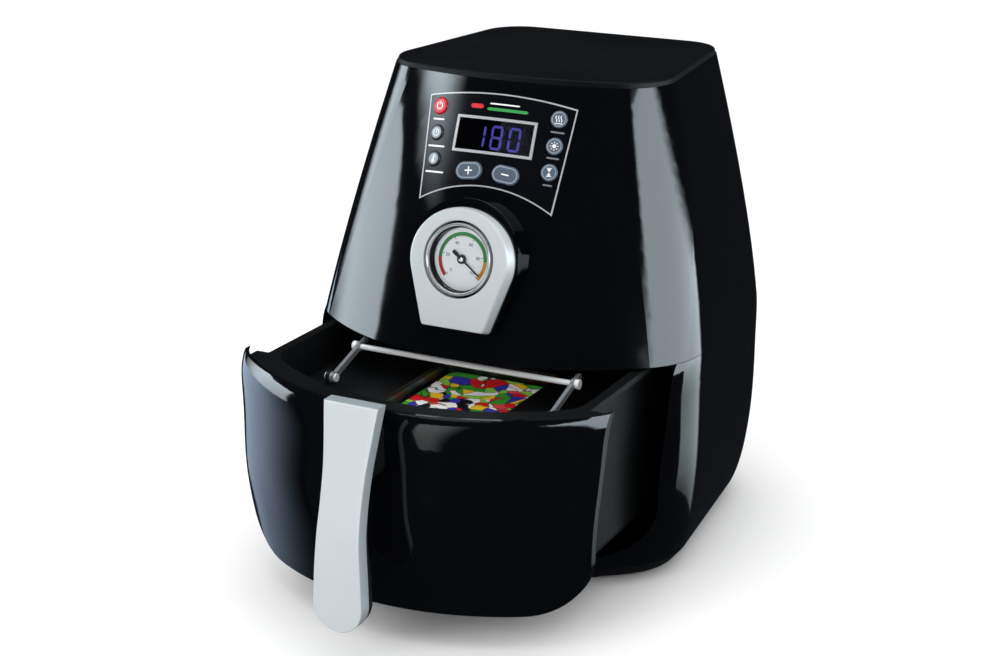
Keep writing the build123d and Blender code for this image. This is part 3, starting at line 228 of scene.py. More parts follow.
def make_wear():
    """Group that turns two noises into colour, roughness and a normal."""
    group, gin, gout = new_group(
        "surface wear",
        [
            (COLOUR, "Base", (0.1, 0.1, 0.1, 1)),
            (COLOUR, "Second", (0.12, 0.12, 0.12, 1)),
            (NUMBER, "Grain scale", 900.0),
            (NUMBER, "Roughness low", 0.1),
            (NUMBER, "Roughness high", 0.2),
            (NUMBER, "Bump", 0.02),
            (NUMBER, "Stretch", 1.0),
        ],
        [(COLOUR, "Color"), (NUMBER, "Roughness"), (ARROW, "Normal")],
    )
    add = group.nodes.new
    where = add("ShaderNodeTexCoord")
    stretch = add("ShaderNodeCombineXYZ")
    stretch.inputs["X"].default_value = 1
    stretch.inputs["Z"].default_value = 1
    squeeze = add("ShaderNodeVectorMath")
    squeeze.operation = "MULTIPLY"
    fine, broad = add("ShaderNodeTexNoise"), add("ShaderNodeTexNoise")
    fine.inputs["Detail"].default_value = 3
    broad.inputs["Scale"].default_value = 14
    broad.inputs["Detail"].default_value = 6
    broad.inputs["Roughness"].default_value = 0.65
    spread = add("ShaderNodeMapRange")
    spread.inputs["From Min"].default_value = 0.35
    spread.inputs["From Max"].default_value = 0.7
    both = add("ShaderNodeMath")
    both.operation = "MULTIPLY_ADD"
    both.inputs[1].default_value = 0.25
    bump = add("ShaderNodeBump")
    bump.inputs["Distance"].default_value = 0.0002
    link(
        group,
        (gin, "Stretch", stretch, "Y"),
        (where, "Object", squeeze, 0),
        (stretch, "Vector", squeeze, 1),
        (squeeze, "Vector", fine, "Vector"),
        (where, "Object", broad, "Vector"),
        (gin, "Grain scale", fine, "Scale"),
        (fine, "Fac", both, 0),
        (broad, "Fac", both, 2),
        (both, "Value", spread, "Value"),
        (gin, "Roughness low", spread, "To Min"),
        (gin, "Roughness high", spread, "To Max"),
        (fine, "Fac", bump, "Height"),
        (gin, "Bump", bump, "Strength"),
        (spread, "Result", gout, "Roughness"),
        (bump, "Normal", gout, "Normal"),
    )
    colour = colour_mix(group, broad.outputs["Fac"], gin.outputs["Base"], gin.outputs["Second"])
    group.links.new(colour, gout.inputs["Color"])
    return group


wear_group = make_wear()
print("group", wear_group.name, "with", len(wear_group.nodes), "nodes")


# %% [markdown]
# One function makes every finish from two near colours, a range of roughness and the size of the
# grain. Colours are written as a painter's codes and turned into Blender's linear numbers. Gloss
# is a low roughness with a thin clear coat, and metal is the same thing with Metallic raised.
# Painted silver stays mostly a paint, so it is pale even where it mirrors nothing.
# %% Finishes
def linear(hexa):
    """A colour written as a painter's hex code, as Blender's linear numbers."""
    parts = [int(hexa[i : i + 2], 16) / 255 for i in (1, 3, 5)]
    return tuple(p / 12.92 if p < 0.04 else ((p + 0.055) / 1.055) ** 2.4 for p in parts) + (1,)


def new_material(name):
    """A material with its node tree and its Principled shader."""
    material = bpy.data.materials.new(name)
    material.use_nodes = True
    return material, material.node_tree, material.node_tree.nodes["Principled BSDF"]


def add_wear(tree, **values):
    """The wear group in a material's tree, with that material's own values."""
    wear = tree.nodes.new("ShaderNodeGroup")
    wear.node_tree = wear_group
    for label, value in values.items():
        wear.inputs[label.replace("_", " ")].default_value = value
    return wear


def finish(slot, base, second, rough, grain=900.0, bump=0.02, stretch=1.0, **shader):
    """A material with its wear, and the name of the record's slot that it belongs to."""
    material, tree, principled = new_material(slot)
    wear = add_wear(
        tree, Base=linear(base), Second=linear(second), Grain_scale=grain, Roughness_low=rough[0],
        Roughness_high=rough[1], Bump=bump, Stretch=stretch,
    )
    for out, into in (("Color", "Base Color"), ("Roughness", "Roughness"), ("Normal", "Normal")):
        tree.links.new(wear.outputs[out], principled.inputs[into])
    for label, value in shader.items():
        principled.inputs[label.replace("_", " ")].default_value = value
    return material, slot


gloss_black = finish(
    "black_gloss", "#030406", "#060709", (0.035, 0.08), 700, 0.008,
    Coat_Weight=0.5, Coat_Roughness=0.02,
)
satin_black = finish(
    "black_satin", "#060708", "#0b0c0f", (0.36, 0.5), 2200, 0.1, Specular_IOR_Level=0.35
)
moulded_black = finish(
    "black_abs", "#08090a", "#0e0f11", (0.42, 0.6), 2600, 0.2, Specular_IOR_Level=0.22
)
# The rear parts are black moulding painted a lighter grey: painted light for the unlit back of the
# machine.
rear_grey = finish("rear_grey", "#1d1f22", "#26282c", (0.4, 0.55), 2600, 0.2)
rubber_black = finish("rubber_black", "#0f0f10", "#1a1a1a", (0.7, 0.9), 1600, 0.3)
panel_black = finish("panel_black", "#06070a", "#0a0b10", (0.08, 0.16), 900, 0.01)
trim_silver = finish("silver_trim", "#bcbdc0", "#a9abaf", (0.2, 0.32), 1500, 0.03, Metallic=0.3)
red_button = finish("red_button", "#c4161c", "#8e0f16", (0.16, 0.26), 1500, 0.03, Coat_Weight=0.3)
dark_button = finish("dark_button", "#24282c", "#1a1d21", (0.14, 0.24), 1600, 0.05, Coat_Weight=0.3)
grey_button = finish("grey_button", "#525f6e", "#434e5b", (0.18, 0.3), 1600, 0.05, Coat_Weight=0.3)
rim_grey = finish("button_rim", "#8f9ba6", "#7d8994", (0.2, 0.3), 1600, 0.03)
board_green = finish("green_board", "#12532c", "#1b6b3b", (0.25, 0.4), 1200, 0.1)
silver_paint = finish(
    "silver_paint", "#cfd5d8", "#c3cace", (0.26, 0.38), 3800, 0.1, 1.0, Metallic=0.25
)
chrome = finish("chrome_bright", "#e6e8ea", "#d6d9dc", (0.06, 0.16), 1800, 0.02, Metallic=0.75)
# The bail is chrome: its wire is a pale paint, a painted reflection, and its arms a darker copy of it,
# painted shade.
wire_silver_painted_highlight = finish("bail_wire", "#eceef0", "#dcdfe2", (0.2, 0.32), 1800, 0.03, Metallic=0.2)
arm_silver = finish("arm_silver", "#9a9ea3", "#85898e", (0.2, 0.34), 1800, 0.04, Metallic=0.5)
# The dial plate glows faintly bluish: painted light that brightens it in the shade of its deep recess.
dial_white = finish(
    "dial_white", "#f6f8f9", "#eaeef0", (0.45, 0.6), 1500, 0.03,
    Emission_Color=(0.8, 0.9, 1.0, 1.0), Emission_Strength=0.16,
)
needle_black = finish("needle_black", "#0d0d10", "#1a1b1f", (0.35, 0.5), 1500, 0.03)
# A darker copy of the handle's silver, painted shade for its flanks.
silver_flank_painted_shade = finish("silver_side", "#a3aeb3", "#97a2a7", (0.28, 0.4), 3800, 0.1, 1.0, Metallic=0.3)
brass = finish("brass_plain", "#a9853c", "#8d6d2c", (0.2, 0.4), 1500, 0.06, Metallic=1.0)
brushed_steel = finish(
    "steel_brushed", "#9a9da1", "#868a8e", (0.25, 0.45), 900, 0.25, 0.04, Metallic=1.0
)
bright_steel = finish("steel_bright", "#b9bcc0", "#9fa3a7", (0.15, 0.3), 1500, 0.05, Metallic=1.0)
dark_steel = finish("steel_dark", "#4a4743", "#5f5751", (0.4, 0.65), 1100, 0.2, Metallic=1.0)
painted_steel = finish("steel_painted", "#232528", "#2e3034", (0.35, 0.5), 1500, 0.12)
plain_aluminium = finish(
    "aluminium_plain", "#a9acb0", "#94979b", (0.28, 0.45), 1000, 0.14, 0.1, Metallic=1.0
)
table_black = finish("table_black", "#0a0b0c", "#131416", (0.34, 0.5), 2400, 0.16)
white_mark = finish("mark_white", "#e8eaec", "#d4d7da", (0.4, 0.5), 1500, 0.02)
print(len(bpy.data.materials), "finishes so far")

# %% [markdown]
# The gauge stands on a raised, drop-shaped boss of the same black gloss. It is drawn as an
# outline that is round above and straight-sided below, and rings of it, each a little larger,
# run from its face back into the housing. The bezel uses the same outline, so it is a function.
# %% The gauge's drop shape
LEAN = radians(12.5)
GAUGE = (0.0, -130.2, 221.5)


def on_gauge(x, up, depth):
    """A point given on the bezel's face, and how deep it lies behind it."""
    return (
        GAUGE[0] + x,
        GAUGE[1] + up * sin(LEAN) + depth * cos(LEAN),
        GAUGE[2] + up * cos(LEAN) - depth * sin(LEAN),
    )


def drop_shape(radius, half, drop, corner=2.0):
    """Round above, straight flanks down to a level lower edge with small corners."""
    reach = hypot(half, drop)
    touch = atan2(-drop, half) + acos(radius / reach)
    start = Vector((radius * cos(touch), radius * sin(touch)))
    tip = Vector((half, -drop))
    flank = (tip - start).normalized()
    right = [Vector((0, -drop)).lerp(Vector((half - corner, -drop)), k / 8) for k in range(8)]
    ends = (Vector((half - corner, -drop)), tip, tip - flank * corner)
    for k in range(6):
        t = k / 6
        right.append(ends[0] * (1 - t) ** 2 + ends[1] * 2 * t * (1 - t) + ends[2] * t * t)
    right += [ends[2].lerp(start, k / 16) for k in range(16)]
    for k in range(40):
        turn = touch + (pi / 2 - touch) * k / 40
        right.append(Vector((radius * cos(turn), radius * sin(turn))))
    whole = right + [Vector((0, radius))] + [Vector((-p.x, p.y)) for p in reversed(right[1:])]
    return [(p.x, p.y) for p in whole]


def gauge_rings(profile, shape):
    """Rings of a drop shape from (grow, depth) pairs."""
    return [
        [on_gauge(x, up, depth) for x, up in drop_shape(*(s + grow for s in shape))]
        for grow, depth in profile
    ]


BOSS = (39.7, 27.2, 46.8)  # radius, half of the lower edge, and the drop from the dial's centre
boss_profile = [(0.0, 36.0), (0.0, 24.0), (0.0, 13.0), (0.0, 8.8), (-0.35, 7.8), (-1.2, 7.25)]
boss = add_mesh(
    "gauge_boss",
    *stack(gauge_rings(boss_profile, BOSS), cap_low=True, cap_high=True),
    "housing",
    gloss_black,
)
print("boss", len(boss.data.polygons), "faces")

# %% [markdown]
# The bezel is a silver-painted moulding with a flat face and a flared side, and one round hole.
# Its outside follows the drop shape and its inside a circle. Both have the same number of points,
# taken at the same angles, so the face between them is one clean band of quads. Both profiles are
# lists of (grow, depth) pairs: how far the ring stands out, and how far behind the face it lies.
# %% Bezel
BEZEL = (34.3, 22.0, 45.0)
HEAD_SHARE = 0.965  # the head is a little lower than a full half circle
TALL_FLARE = 0.25  # how much of the sideways flare goes upwards and down
HOLE = 25.2
bezel_profile = [
    (3.6, 7.0), (3.6, 6.4), (3.1, 5.2), (1.5, 1.6), (0.9, 0.75), (0.2, 0.18), (-0.5, 0.0), (-2.0, 0.0),
]
hole_profile = [(2.0, 0.0), (0.7, 0.0), (0.15, 0.25), (0.0, 0.9), (0.0, 6.9)]


def bezel_mesh():
    """Drop-shaped rings outside, a round hole inside, and a face bridged between the two."""
    outline = [(x, up * HEAD_SHARE if up > 0 else up) for x, up in drop_shape(*BEZEL)]
    rings = []
    for grow, depth in bezel_profile:
        wider, taller = 1 + grow / BEZEL[0], 1 + TALL_FLARE * grow / BEZEL[2]
        rings.append([on_gauge(x * wider, up * taller, depth) for x, up in outline])
    bearings = [atan2(up, x) for x, up in outline]
    for grow, depth in hole_profile:
        r = HOLE + grow
        rings.append([on_gauge(r * cos(a), r * sin(a), depth) for a in bearings])
    return stack(rings, close=True)


bezel = add_mesh("bezel", *bezel_mesh(), "housing", silver_paint)
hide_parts("gauge_bezel")
print("bezel", len(bezel.data.polygons), "faces")


# %% [markdown]
# The gauge's metal rim is turned on a lathe, so it is drawn as a half profile of radius and depth
# that goes round the gauge's axis. A black lip inside it hides the edge of the dial and casts the
# dark crescent that makes the dial look deep.
# %% Rim, lip and dial
def turned(name, profile, body, finish_pair, count=96, hollow=False):
    """A part turned from (radius, depth) pairs round the gauge's axis; a hollow one is a ring."""
    turns = [2 * pi * i / count for i in range(count)]
    rings = [[on_gauge(r * cos(turn), r * sin(turn), depth) for turn in turns] for r, depth in profile]
    skin = stack(rings, close=hollow, cap_low=not hollow, cap_high=not hollow)
    return add_mesh(name, *skin, body, finish_pair)


rim_profile = [
    (23.7, 6.9), (23.7, 0.6), (23.55, -0.3), (23.2, -0.85), (22.7, -1.0), (22.15, -0.8),
    (21.8, -0.3), (21.6, 0.6), (21.55, 6.9),
]
rim = turned("gauge_rim", rim_profile, "housing", chrome, hollow=True)
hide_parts("gauge_ring")
lip_profile = [(21.6, 1.9), (21.4, 1.7), (20.95, 2.0), (20.65, 2.8), (20.5, 6.7), (21.5, 6.8)]
turned("gauge_lip", lip_profile, "housing", moulded_black, hollow=True)
DIAL_FACE = 6.9
dial_profile = [(20.75, 7.5), (20.75, 6.95), (20.5, DIAL_FACE)]
dial = turned("dial_plate", dial_profile, "housing", dial_white)
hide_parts("gauge_dial")
print("gauge rim and dial", len(rim.data.polygons) + len(dial.data.polygons), "faces")


# %% [markdown]
# The dial is printed in four colours. Each print is a flat shape raised by a few hundredths of a
# millimetre, which is about what ink has, and keeps it from flickering against the white plate.
# %% Dial scale
def arc_strip(r0, r1, a0, a1, count=24):
    """A flat ring sector as points and faces; angles in degrees, anticlockwise from +X."""
    points, faces = [], []
    for i in range(count + 1):
        turn = radians(a0 + (a1 - a0) * i / count)
        points += [(r0 * cos(turn), r0 * sin(turn)), (r1 * cos(turn), r1 * sin(turn))]
        if i:
            n = len(points)
            faces.append((n - 4, n - 3, n - 1, n - 2))
    return points, faces


def raise_flat(points, faces, lift, thick, to_space):
    """A flat shape given some thickness and set into space by a function of (x, up, height)."""
    n = len(points)
    edges = dict.fromkeys(pair for face in faces for pair in zip(face, face[1:] + face[:1]))
    outer = [(a, b) for a, b in edges if (b, a) not in edges]
    space = [to_space(x, y, lift) for x, y in points]
    space += [to_space(x, y, lift + thick) for x, y in points]
    solid = [tuple(reversed(f)) for f in faces] + [tuple(i + n for i in f) for f in faces]
    solid += [(a, b, b + n, a + n) for a, b in outer]
    return space, solid


def join_flat(shapes):
    """Several flat shapes as one list of points and faces."""
    points, faces = [], []
    for p, f in shapes:
        n = len(points)
        points += list(p)
        faces += [tuple(i + n for i in face) for face in f]
    return points, faces


def dial_space(x, up, lift):
    """A point on the dial's plate, raised from it."""
    return on_gauge(x, up, DIAL_FACE - lift)


red_mark = finish("mark_red", "#c9252b", "#a81c22", (0.4, 0.5), 1500, 0.02)
green_mark = finish("mark_green", "#2f9a4b", "#27803f", (0.4, 0.5), 1500, 0.02)
yellow_mark = finish("mark_yellow", "#e0a21f", "#c98d18", (0.4, 0.5), 1500, 0.02)
SCALE_START, SCALE_SWEEP = 225, 270  # degrees
BAND_IN, BAND_OUT, TICK_OUT = 15.2, 17.7, 15.1
TICKS, LONG_EVERY = 41, 8
for name, a0, a1, paint in (
    ("scale_red", 180, 225, red_mark),
    ("scale_green", 0, 180, green_mark),
    ("scale_yellow", -45, 0, yellow_mark),
):
    band = raise_flat(*arc_strip(BAND_IN, BAND_OUT, a0, a1, 40), 0.02, 0.06, dial_space)
    add_mesh(name, *band, "housing", (paint[0], "dial_white"))
ticks = []
for k in range(TICKS):
    turn = SCALE_START - SCALE_SWEEP * k / (TICKS - 1)
    deep, wide = (1.5, 0.8) if k % LONG_EVERY == 0 else (0.8, 0.35)
    ticks.append(arc_strip(TICK_OUT - deep, TICK_OUT, turn - wide, turn + wide, 1))
add_mesh(
    "scale_ticks", *raise_flat(*join_flat(ticks), 0.02, 0.05, dial_space), "housing",
    (needle_black[0], "dial_white"),
)
print("scale with", len(ticks), "ticks")


# %% [markdown]
# Plain numbers stand inside the scale. Blender's own letter shapes are filled flat, read point by
# point and set on the dial, so they become thin solids like the rest of the print.
# %% Dial numbers
def letters(name, text, size, spot, to_space, lift, thick, body, finish_pair):
    """Plain figures as a mesh: the text is filled flat, then set into space point by point."""
    curve = bpy.data.curves.new(name, "FONT")
    curve.body = text
    curve.size = size
    curve.align_x = "CENTER"
    curve.align_y = "CENTER"
    temporary = bpy.data.objects.new(name + "_flat", curve)
    flat = temporary.to_mesh()
    points = [(v.co.x + spot[0], v.co.y + spot[1]) for v in flat.vertices]
    faces = [tuple(p.vertices) for p in flat.polygons]
    temporary.to_mesh_clear()
    bpy.data.objects.remove(temporary)
    solid = raise_flat(points, faces, lift, thick, to_space)
    return add_mesh(name, *solid, body, finish_pair)


NUMBER_RADIUS, NUMBER_SIZE = 11.2, 3.1
for k, text in enumerate(("0", "20", "40", "60", "80", "100")):
    turn = radians(SCALE_START - SCALE_SWEEP / 5 * k)
    spot = (NUMBER_RADIUS * cos(turn), NUMBER_RADIUS * sin(turn))
    letters(
        "scale_number_" + text, text, NUMBER_SIZE, spot, dial_space, 0.02, 0.05, "housing",
        (needle_black[0], "dial_white"),
    )
print("dial numbers made")

# %% [markdown]
# The needle turns with the pressure, so it rides on its own body. It is drawn pointing along +X,
# then turned to the angle it has in the photograph.
# %% Needle
NEEDLE = radians(-35.6)
NEEDLE_DEPTH, NEEDLE_THICK = 5.6, 0.45


def needle_space(x, up, lift):
    """A point of the needle, drawn along +X, at the angle that it has at rest."""
    turned_x = x * cos(NEEDLE) - up * sin(NEEDLE)
    turned_up = x * sin(NEEDLE) + up * cos(NEEDLE)
    return on_gauge(turned_x, turned_up, NEEDLE_DEPTH - lift)


upper_edge = [
    (-8.4, 0.9), (-7.9, 1.25), (-4.5, 1.15), (-2.0, 0.75), (3.0, 0.65), (13.5, 0.4), (15.0, 0.6),
    (16.6, 0.12),
]
lower_edge = [(x, -half) for x, half in upper_edge]
stations = len(upper_edge)
quads = [(k, k + stations, k + stations + 1, k + 1) for k in range(stations - 1)]
blade = raise_flat(upper_edge + lower_edge, quads, 0.0, NEEDLE_THICK, needle_space)
needle = add_mesh("needle_blade", *blade, "needle", needle_black)
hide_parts("gauge_needle")
turned("needle_hub", [(3.1, 5.6), (3.1, 4.75), (2.9, 4.55), (1.9, 4.5)], "needle", needle_black, 48)
turned("needle_cap", [(1.7, 4.6), (1.7, 4.35), (1.2, 4.1), (0.4, 4.0)], "needle", chrome, 48)
print("needle", len(needle.data.polygons), "faces")


# %% [markdown]
# The gauge and the display each have a pane. Their index of refraction is lower than real
# glass has, so that they mirror little of the studio and what is behind them stays clear. A trace
# of smudges comes from the wear group, and the display's pane is tinted by its two colours.
# %% Glass
def glass_finish(slot, base, second, bending):
    """A clear or tinted pane with a trace of smudges."""
    material, tree, principled = new_material(slot)
    principled.inputs["Transmission Weight"].default_value = 1.0
    principled.inputs["IOR"].default_value = bending
    smudge = add_wear(
        tree, Base=base, Second=second, Roughness_low=0.0, Roughness_high=0.03, Bump=0.0
    )
    for out, into in (("Color", "Base Color"), ("Roughness", "Roughness")):
        tree.links.new(smudge.outputs[out], principled.inputs[into])
    return material, slot


clear_glass = glass_finish("clear_glass", (0.97, 0.98, 0.98, 1), (1, 1, 1, 1), 1.05)
dark_glass = glass_finish("dark_glass", linear("#8f93a8"), linear("#858aa2"), 1.2)
window = turned("gauge_window", [(20.6, 3.9), (20.6, 3.2), (20.3, 3.15)], "housing", clear_glass)
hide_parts("gauge_lens")
print("window made")


def dress(finish_pair, *names, edge=0.0, smooth=28.0):
    """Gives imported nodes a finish, smooth shading up to an angle and softened edges."""
    for name in names:
        node = nodes[name]
        node.data.materials.clear()
        node.data.materials.append(finish_pair[0])
        node.data.shade_smooth()
        node.data.set_sharp_from_angle(angle=radians(smooth))
        if edge:
            soften(node, edge, 2, 40.0)


dress(gloss_black, "lower_housing", "drawer_front", "upper_housing")
dress(satin_black, "top_cover")
dress(moulded_black, "base", "gauge_case")
# Painted light: the black rear parts wear a lighter grey.
dress((rear_grey[0], "black_abs"), "rear_vent", "switch_frame", "power_inlet")
dress(moulded_black, "vacuum_pump", "vacuum_plenum", "drawer_tub")
dress(rubber_black, "feet", "pit_seal", "supply_hose", "gauge_hose")
dress(board_green, "control_board", "power_board")
dress(brass, "gauge_stem", "dock_nozzle", edge=0.15)
dress(bright_steel, "inlet_pins", "deck_screws", "handle_screws", edge=0.15)
dress(plain_aluminium, "reflector", "vacuum_bed")
dress(brushed_steel, "slide_rail_left", "slide_rail_right", edge=0.2)
dress(painted_steel, "heater_deck", "fan")
dress(dark_steel, "heating_element", "fan_motor")
dress(table_black, "work_table", edge=0.3)
# Painted reflection on the bail's wire and painted shade on its arms, both standing in for chrome.
dress((wire_silver_painted_highlight[0], "chrome_bright"), "crossbar", "bail_pins", edge=0.2)
dress((arm_silver[0], "chrome_bright"), "bail_arm_left", "bail_arm_right", edge=0.2)
dress(dark_button, "switch_rocker")

# %% [markdown]
# The handle is a silver moulding over a black core. Its front view has a wide head with sharp
# corners, a narrow waist and a round end, and its side view sweeps outwards and then hangs
# straight. Both are drawn as smooth curves through a few points, which a designer would sketch:
# half widths, the stand-off from the drawer, and how thick the handle is, each at a height.
# %% The handle's curves
DOOR_Y = -145.0  # the drawer's front at its foremost, which the handle stands off from
END_Z, HEAD_Z = 43.2, 167.0  # the round end's centre and the head's top
HALVES = [
    (END_Z, 17.2), (52, 16.9), (65, 16.3), (83, 15.2), (98, 14.6), (112, 14.5), (128, 15.0),
    (146, 16.7), (HEAD_Z, 19.0),
]
STANDS = [(20, 41.8), (47, 41.5), (85, 39.6), (103, 36.0), (140, 26.5), (HEAD_Z, 20.0), (175, 17.0)]
BACKS = [(20, 15.8), (60, 15.6), (85, 13.4), (112, 11.6), (175, 11.4)]


def through(points, at):
    """The value of a smooth curve through (place, value) points."""
    k = max(0, min(len(points) - 2, sum(1 for p in points if p[0] <= at) - 1))
    slopes = []
    for i in (k, k + 1):
        a, b = points[max(0, i - 1)], points[min(len(points) - 1, i + 1)]
        slopes.append((b[1] - a[1]) / (b[0] - a[0]))
    (x0, y0), (x1, y1) = points[k], points[k + 1]
    span = x1 - x0
    t = (at - x0) / span
    bent = slopes[0] * (1 - t) - slopes[1] * t
    rise = y1 - y0
    return y0 + rise * t + t * (1 - t) * ((bent * span) - rise * (1 - 2 * t))


def handle_right(inset):
    """The right half of the front view from the round end to the head, as (half, height)."""
    end = HALVES[0][1] - inset
    half = [(end * sin(pi / 2 * k / 16), END_Z - end * cos(pi / 2 * k / 16)) for k in range(17)]
    for k in range(1, 31):
        z = END_Z + (HEAD_Z - inset - END_Z) * k / 30
        half.append((through(HALVES, z) - inset, z))
    return half


def handle_point(x, z, depth):
    """A point behind the handle's face; a negative depth counts forwards from the core's back."""
    deep = through(BACKS, z) + depth if depth < 0 else depth
    return (x, DOOR_Y - through(STANDS, z) + deep, z)


def handle_loop(inset, depth):
    """One closed ring round the front view, with points across the head's top."""
    right = handle_right(inset)
    wide, top = right[-1]
    across = [(wide * (1 - 2 * c / 8), top) for c in range(1, 8)]
    left = [(-x, z) for x, z in reversed(right[1:])]
    return [handle_point(x, z, depth) for x, z in right + across + left]


def handle_field(inset, depth):
    """The curved face inside a ring: rows of quads from the round end up to the head."""
    rows = [[(x * (2 * c / 8 - 1), z) for c in range(9)] for x, z in handle_right(inset)]
    points = [handle_point(x, z, depth) for row in rows for x, z in row]
    faces = [
        (9 * r + c, 9 * r + c + 1, 9 * r + c + 10, 9 * r + c + 9)
        for r in range(len(rows) - 1) for c in range(8)
    ]
    return points, faces


def handle_solid(profile):
    """A closed moulding from (inset, depth) pairs between its front and back faces."""
    shapes = [stack([handle_loop(*pair) for pair in profile])]
    shapes += [handle_field(*profile[0]), handle_field(*profile[-1])]
    return join_flat(shapes)


print("handle waist", round(2 * through(HALVES, 110), 1), "mm")

# %% [markdown]
# The silver moulding has a crisp bevel round its face. Its flanks get a darker copy of the silver,
# painted shade for the sides that turn away from the light. The black core behind it is a little
# smaller all round and thins out towards the head. A short neck carries both on the drawer's front.
# %% Handle
handle_shell = add_mesh(
    "handle_shell",
    *handle_solid([(1.15, 0.0), (0.45, 0.25), (0.12, 0.7), (0.0, 1.3), (0.0, 9.6), (0.5, 10.4)]),
    "drawer", silver_paint, drawer=True,
)
# Faces that look away from the front get the darker silver: painted shade on the handle's flanks.
handle_shell.data.materials.append(silver_flank_painted_shade[0])
FACING = -0.35  # a face that looks less towards the front than this is a flank
for side in handle_shell.data.polygons:
    side.material_index = int(side.normal.y > FACING)
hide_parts("handle_cover")
handle_back = add_mesh(
    "handle_back",
    *handle_solid([(1.0, 9.9), (0.6, 10.2), (0.6, -1.6), (1.0, -0.5), (2.4, -0.01)]),
    "drawer", moulded_black, drawer=True,
)
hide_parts("handle_core")
NECK_ROUND, NECK_HALF, NECK_LOW, NECK_HIGH = 8.5, 2.5, 124, 144
neck_corners = (
    (NECK_HALF, NECK_HIGH, 0), (-NECK_HALF, NECK_HIGH, 90),
    (-NECK_HALF, NECK_LOW, 180), (NECK_HALF, NECK_LOW, 270),
)
neck_outline = []
for corner_x, corner_z, first in neck_corners:
    for k in range(9):
        turn = radians(first + 90 * k / 8)
        neck_outline.append((corner_x + NECK_ROUND * cos(turn), corner_z + NECK_ROUND * sin(turn)))
neck = [[(x, y, z) for x, z in neck_outline] for y in (-164.5, -143.0)]
add_mesh(
    "handle_neck", *stack(neck, cap_low=True, cap_high=True), "drawer", moulded_black, drawer=True
)
print("handle", len(handle_shell.data.polygons) + len(handle_back.data.polygons), "faces")

# %% [markdown]
# The control panel is a printed black film let into the housing, with a thin silver line round
# it. Its layout is flat, as a designer draws it, and is thrown straight onto the curved skin. A
# point of the layout finds its place by stepping along the panel's normal until it meets the
# skin, so every mark follows the curve of the housing.
# %% The control panel's layout
PANEL_Z = 280.0
CAP_HEIGHT = 1.1  # a button's cap over the skin
FILM_TOP = 0.06
rise = front_y(0, PANEL_Z + 0.5) - front_y(0, PANEL_Z - 0.5)
PANEL_LEAN = atan2(rise, 1.0)
PANEL_OUT = Vector((0, -cos(PANEL_LEAN), sin(PANEL_LEAN)))
PANEL_UP = Vector((0, sin(PANEL_LEAN), cos(PANEL_LEAN)))


def panel_space(u, v, lift):
    """A point of the flat layout on the skin, raised along the panel's normal."""
    point = Vector((u, front_y(0, PANEL_Z), PANEL_Z)) + PANEL_UP * v
    for _ in range(5):
        point += PANEL_OUT * (point.y - front_y(point.x, point.z)) * cos(PANEL_LEAN)
    return point + PANEL_OUT * lift


def cap_space(u0, v0, angle=0.0):
    """A function that turns marks on a button's face into space."""
    centre = panel_space(u0, v0, 0)
    across = front_y(u0 + 0.5, centre.z) - front_y(u0 - 0.5, centre.z)
    steep = front_y(u0, centre.z + 0.5) - front_y(u0, centre.z - 0.5)
    out = Vector((across, -1, steep)).normalized()
    side = Vector((1, across, 0)).normalized()
    up = out.cross(side)
    turn = radians(angle)
    side, up = side * cos(turn) + up * sin(turn), up * cos(turn) - side * sin(turn)

    def on_cap(x, y, lift):
        """A point on this button's cap, raised from it."""
        return centre + side * x + up * y + out * (CAP_HEIGHT + lift)

    return on_cap


print("panel leans", round(degrees(PANEL_LEAN), 2), "degrees")

# %% [markdown]
# The film, its silver line and the display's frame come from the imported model. The display is a
# tinted window, and behind it seven-segment digits glow. Light from a real display is never even,
# so the digits' colour runs from violet to a paler blue.
# %% Panel film, display and digits
dress(panel_black, "control_panel")
dress(trim_silver, "panel_trim", "display_frame")


def glow(name, inner, outer, strength):
    """A lit material whose colour varies a little from place to place."""
    material, tree, shader = new_material(name)
    noise = tree.nodes.new("ShaderNodeTexNoise")
    noise.inputs["Scale"].default_value = 60
    ramp = tree.nodes.new("ShaderNodeValToRGB")
    ramp.color_ramp.elements[0].color = linear(inner)
    ramp.color_ramp.elements[1].color = linear(outer)
    tree.links.new(noise.outputs["Fac"], ramp.inputs["Fac"])
    tree.links.new(ramp.outputs["Color"], shader.inputs["Emission Color"])
    shader.inputs["Base Color"].default_value = (0.01, 0.01, 0.03, 1)
    shader.inputs["Emission Strength"].default_value = strength
    return material


digit_glow = (glow("lit_digits", "#4c3fae", "#8f86e6", 1.5), "lit_digits")
SEGMENTS = {
    "a": (0, 0.5, 0), "b": (0.5, 0.25, 1), "c": (0.5, -0.25, 1), "d": (0, -0.5, 0),
    "e": (-0.5, -0.25, 1), "f": (-0.5, 0.25, 1), "g": (0, 0, 0),
}
DIGIT_WIDE, DIGIT_HIGH, STROKE = 8.4, 16.0, 1.5
DIGIT_LEVEL, DIGIT_DEPTH, DIGIT_THICK = 12.6, 1.9, 0.3


def segment(x, y, long, upright):
    """One lit bar with its two pointed ends."""
    h, w = long / 2, STROKE / 2
    six = [(-h, 0), (-h + w, w), (h - w, w), (h, 0), (h - w, -w), (-h + w, -w)]
    points = [(x + b, y + a) if upright else (x + a, y + b) for a, b in six]
    order = (0, 1, 2, 3, 4, 5) if upright else (5, 4, 3, 2, 1, 0)
    return points, [order]


digit_shapes = []
for middle, lit in ((-11.4, "bc"), (1.2, "abcdefg"), (14.0, "abcdef")):
    for letter in lit:
        across, up, upright = SEGMENTS[letter]
        x = middle + across * (DIGIT_WIDE - STROKE)
        y = DIGIT_LEVEL + up * (DIGIT_HIGH - STROKE)
        long = (DIGIT_HIGH / 2 if upright else DIGIT_WIDE) - STROKE
        digit_shapes.append(segment(x, y, long, upright))
lit_bars = raise_flat(*join_flat(digit_shapes), -DIGIT_DEPTH - DIGIT_THICK, DIGIT_THICK, panel_space)
digits = add_mesh("digits", *lit_bars, "housing", digit_glow)
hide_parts("display_digits")
dress(moulded_black, "display_module")
dress(dark_glass, "display_lens")
print("display dressed")


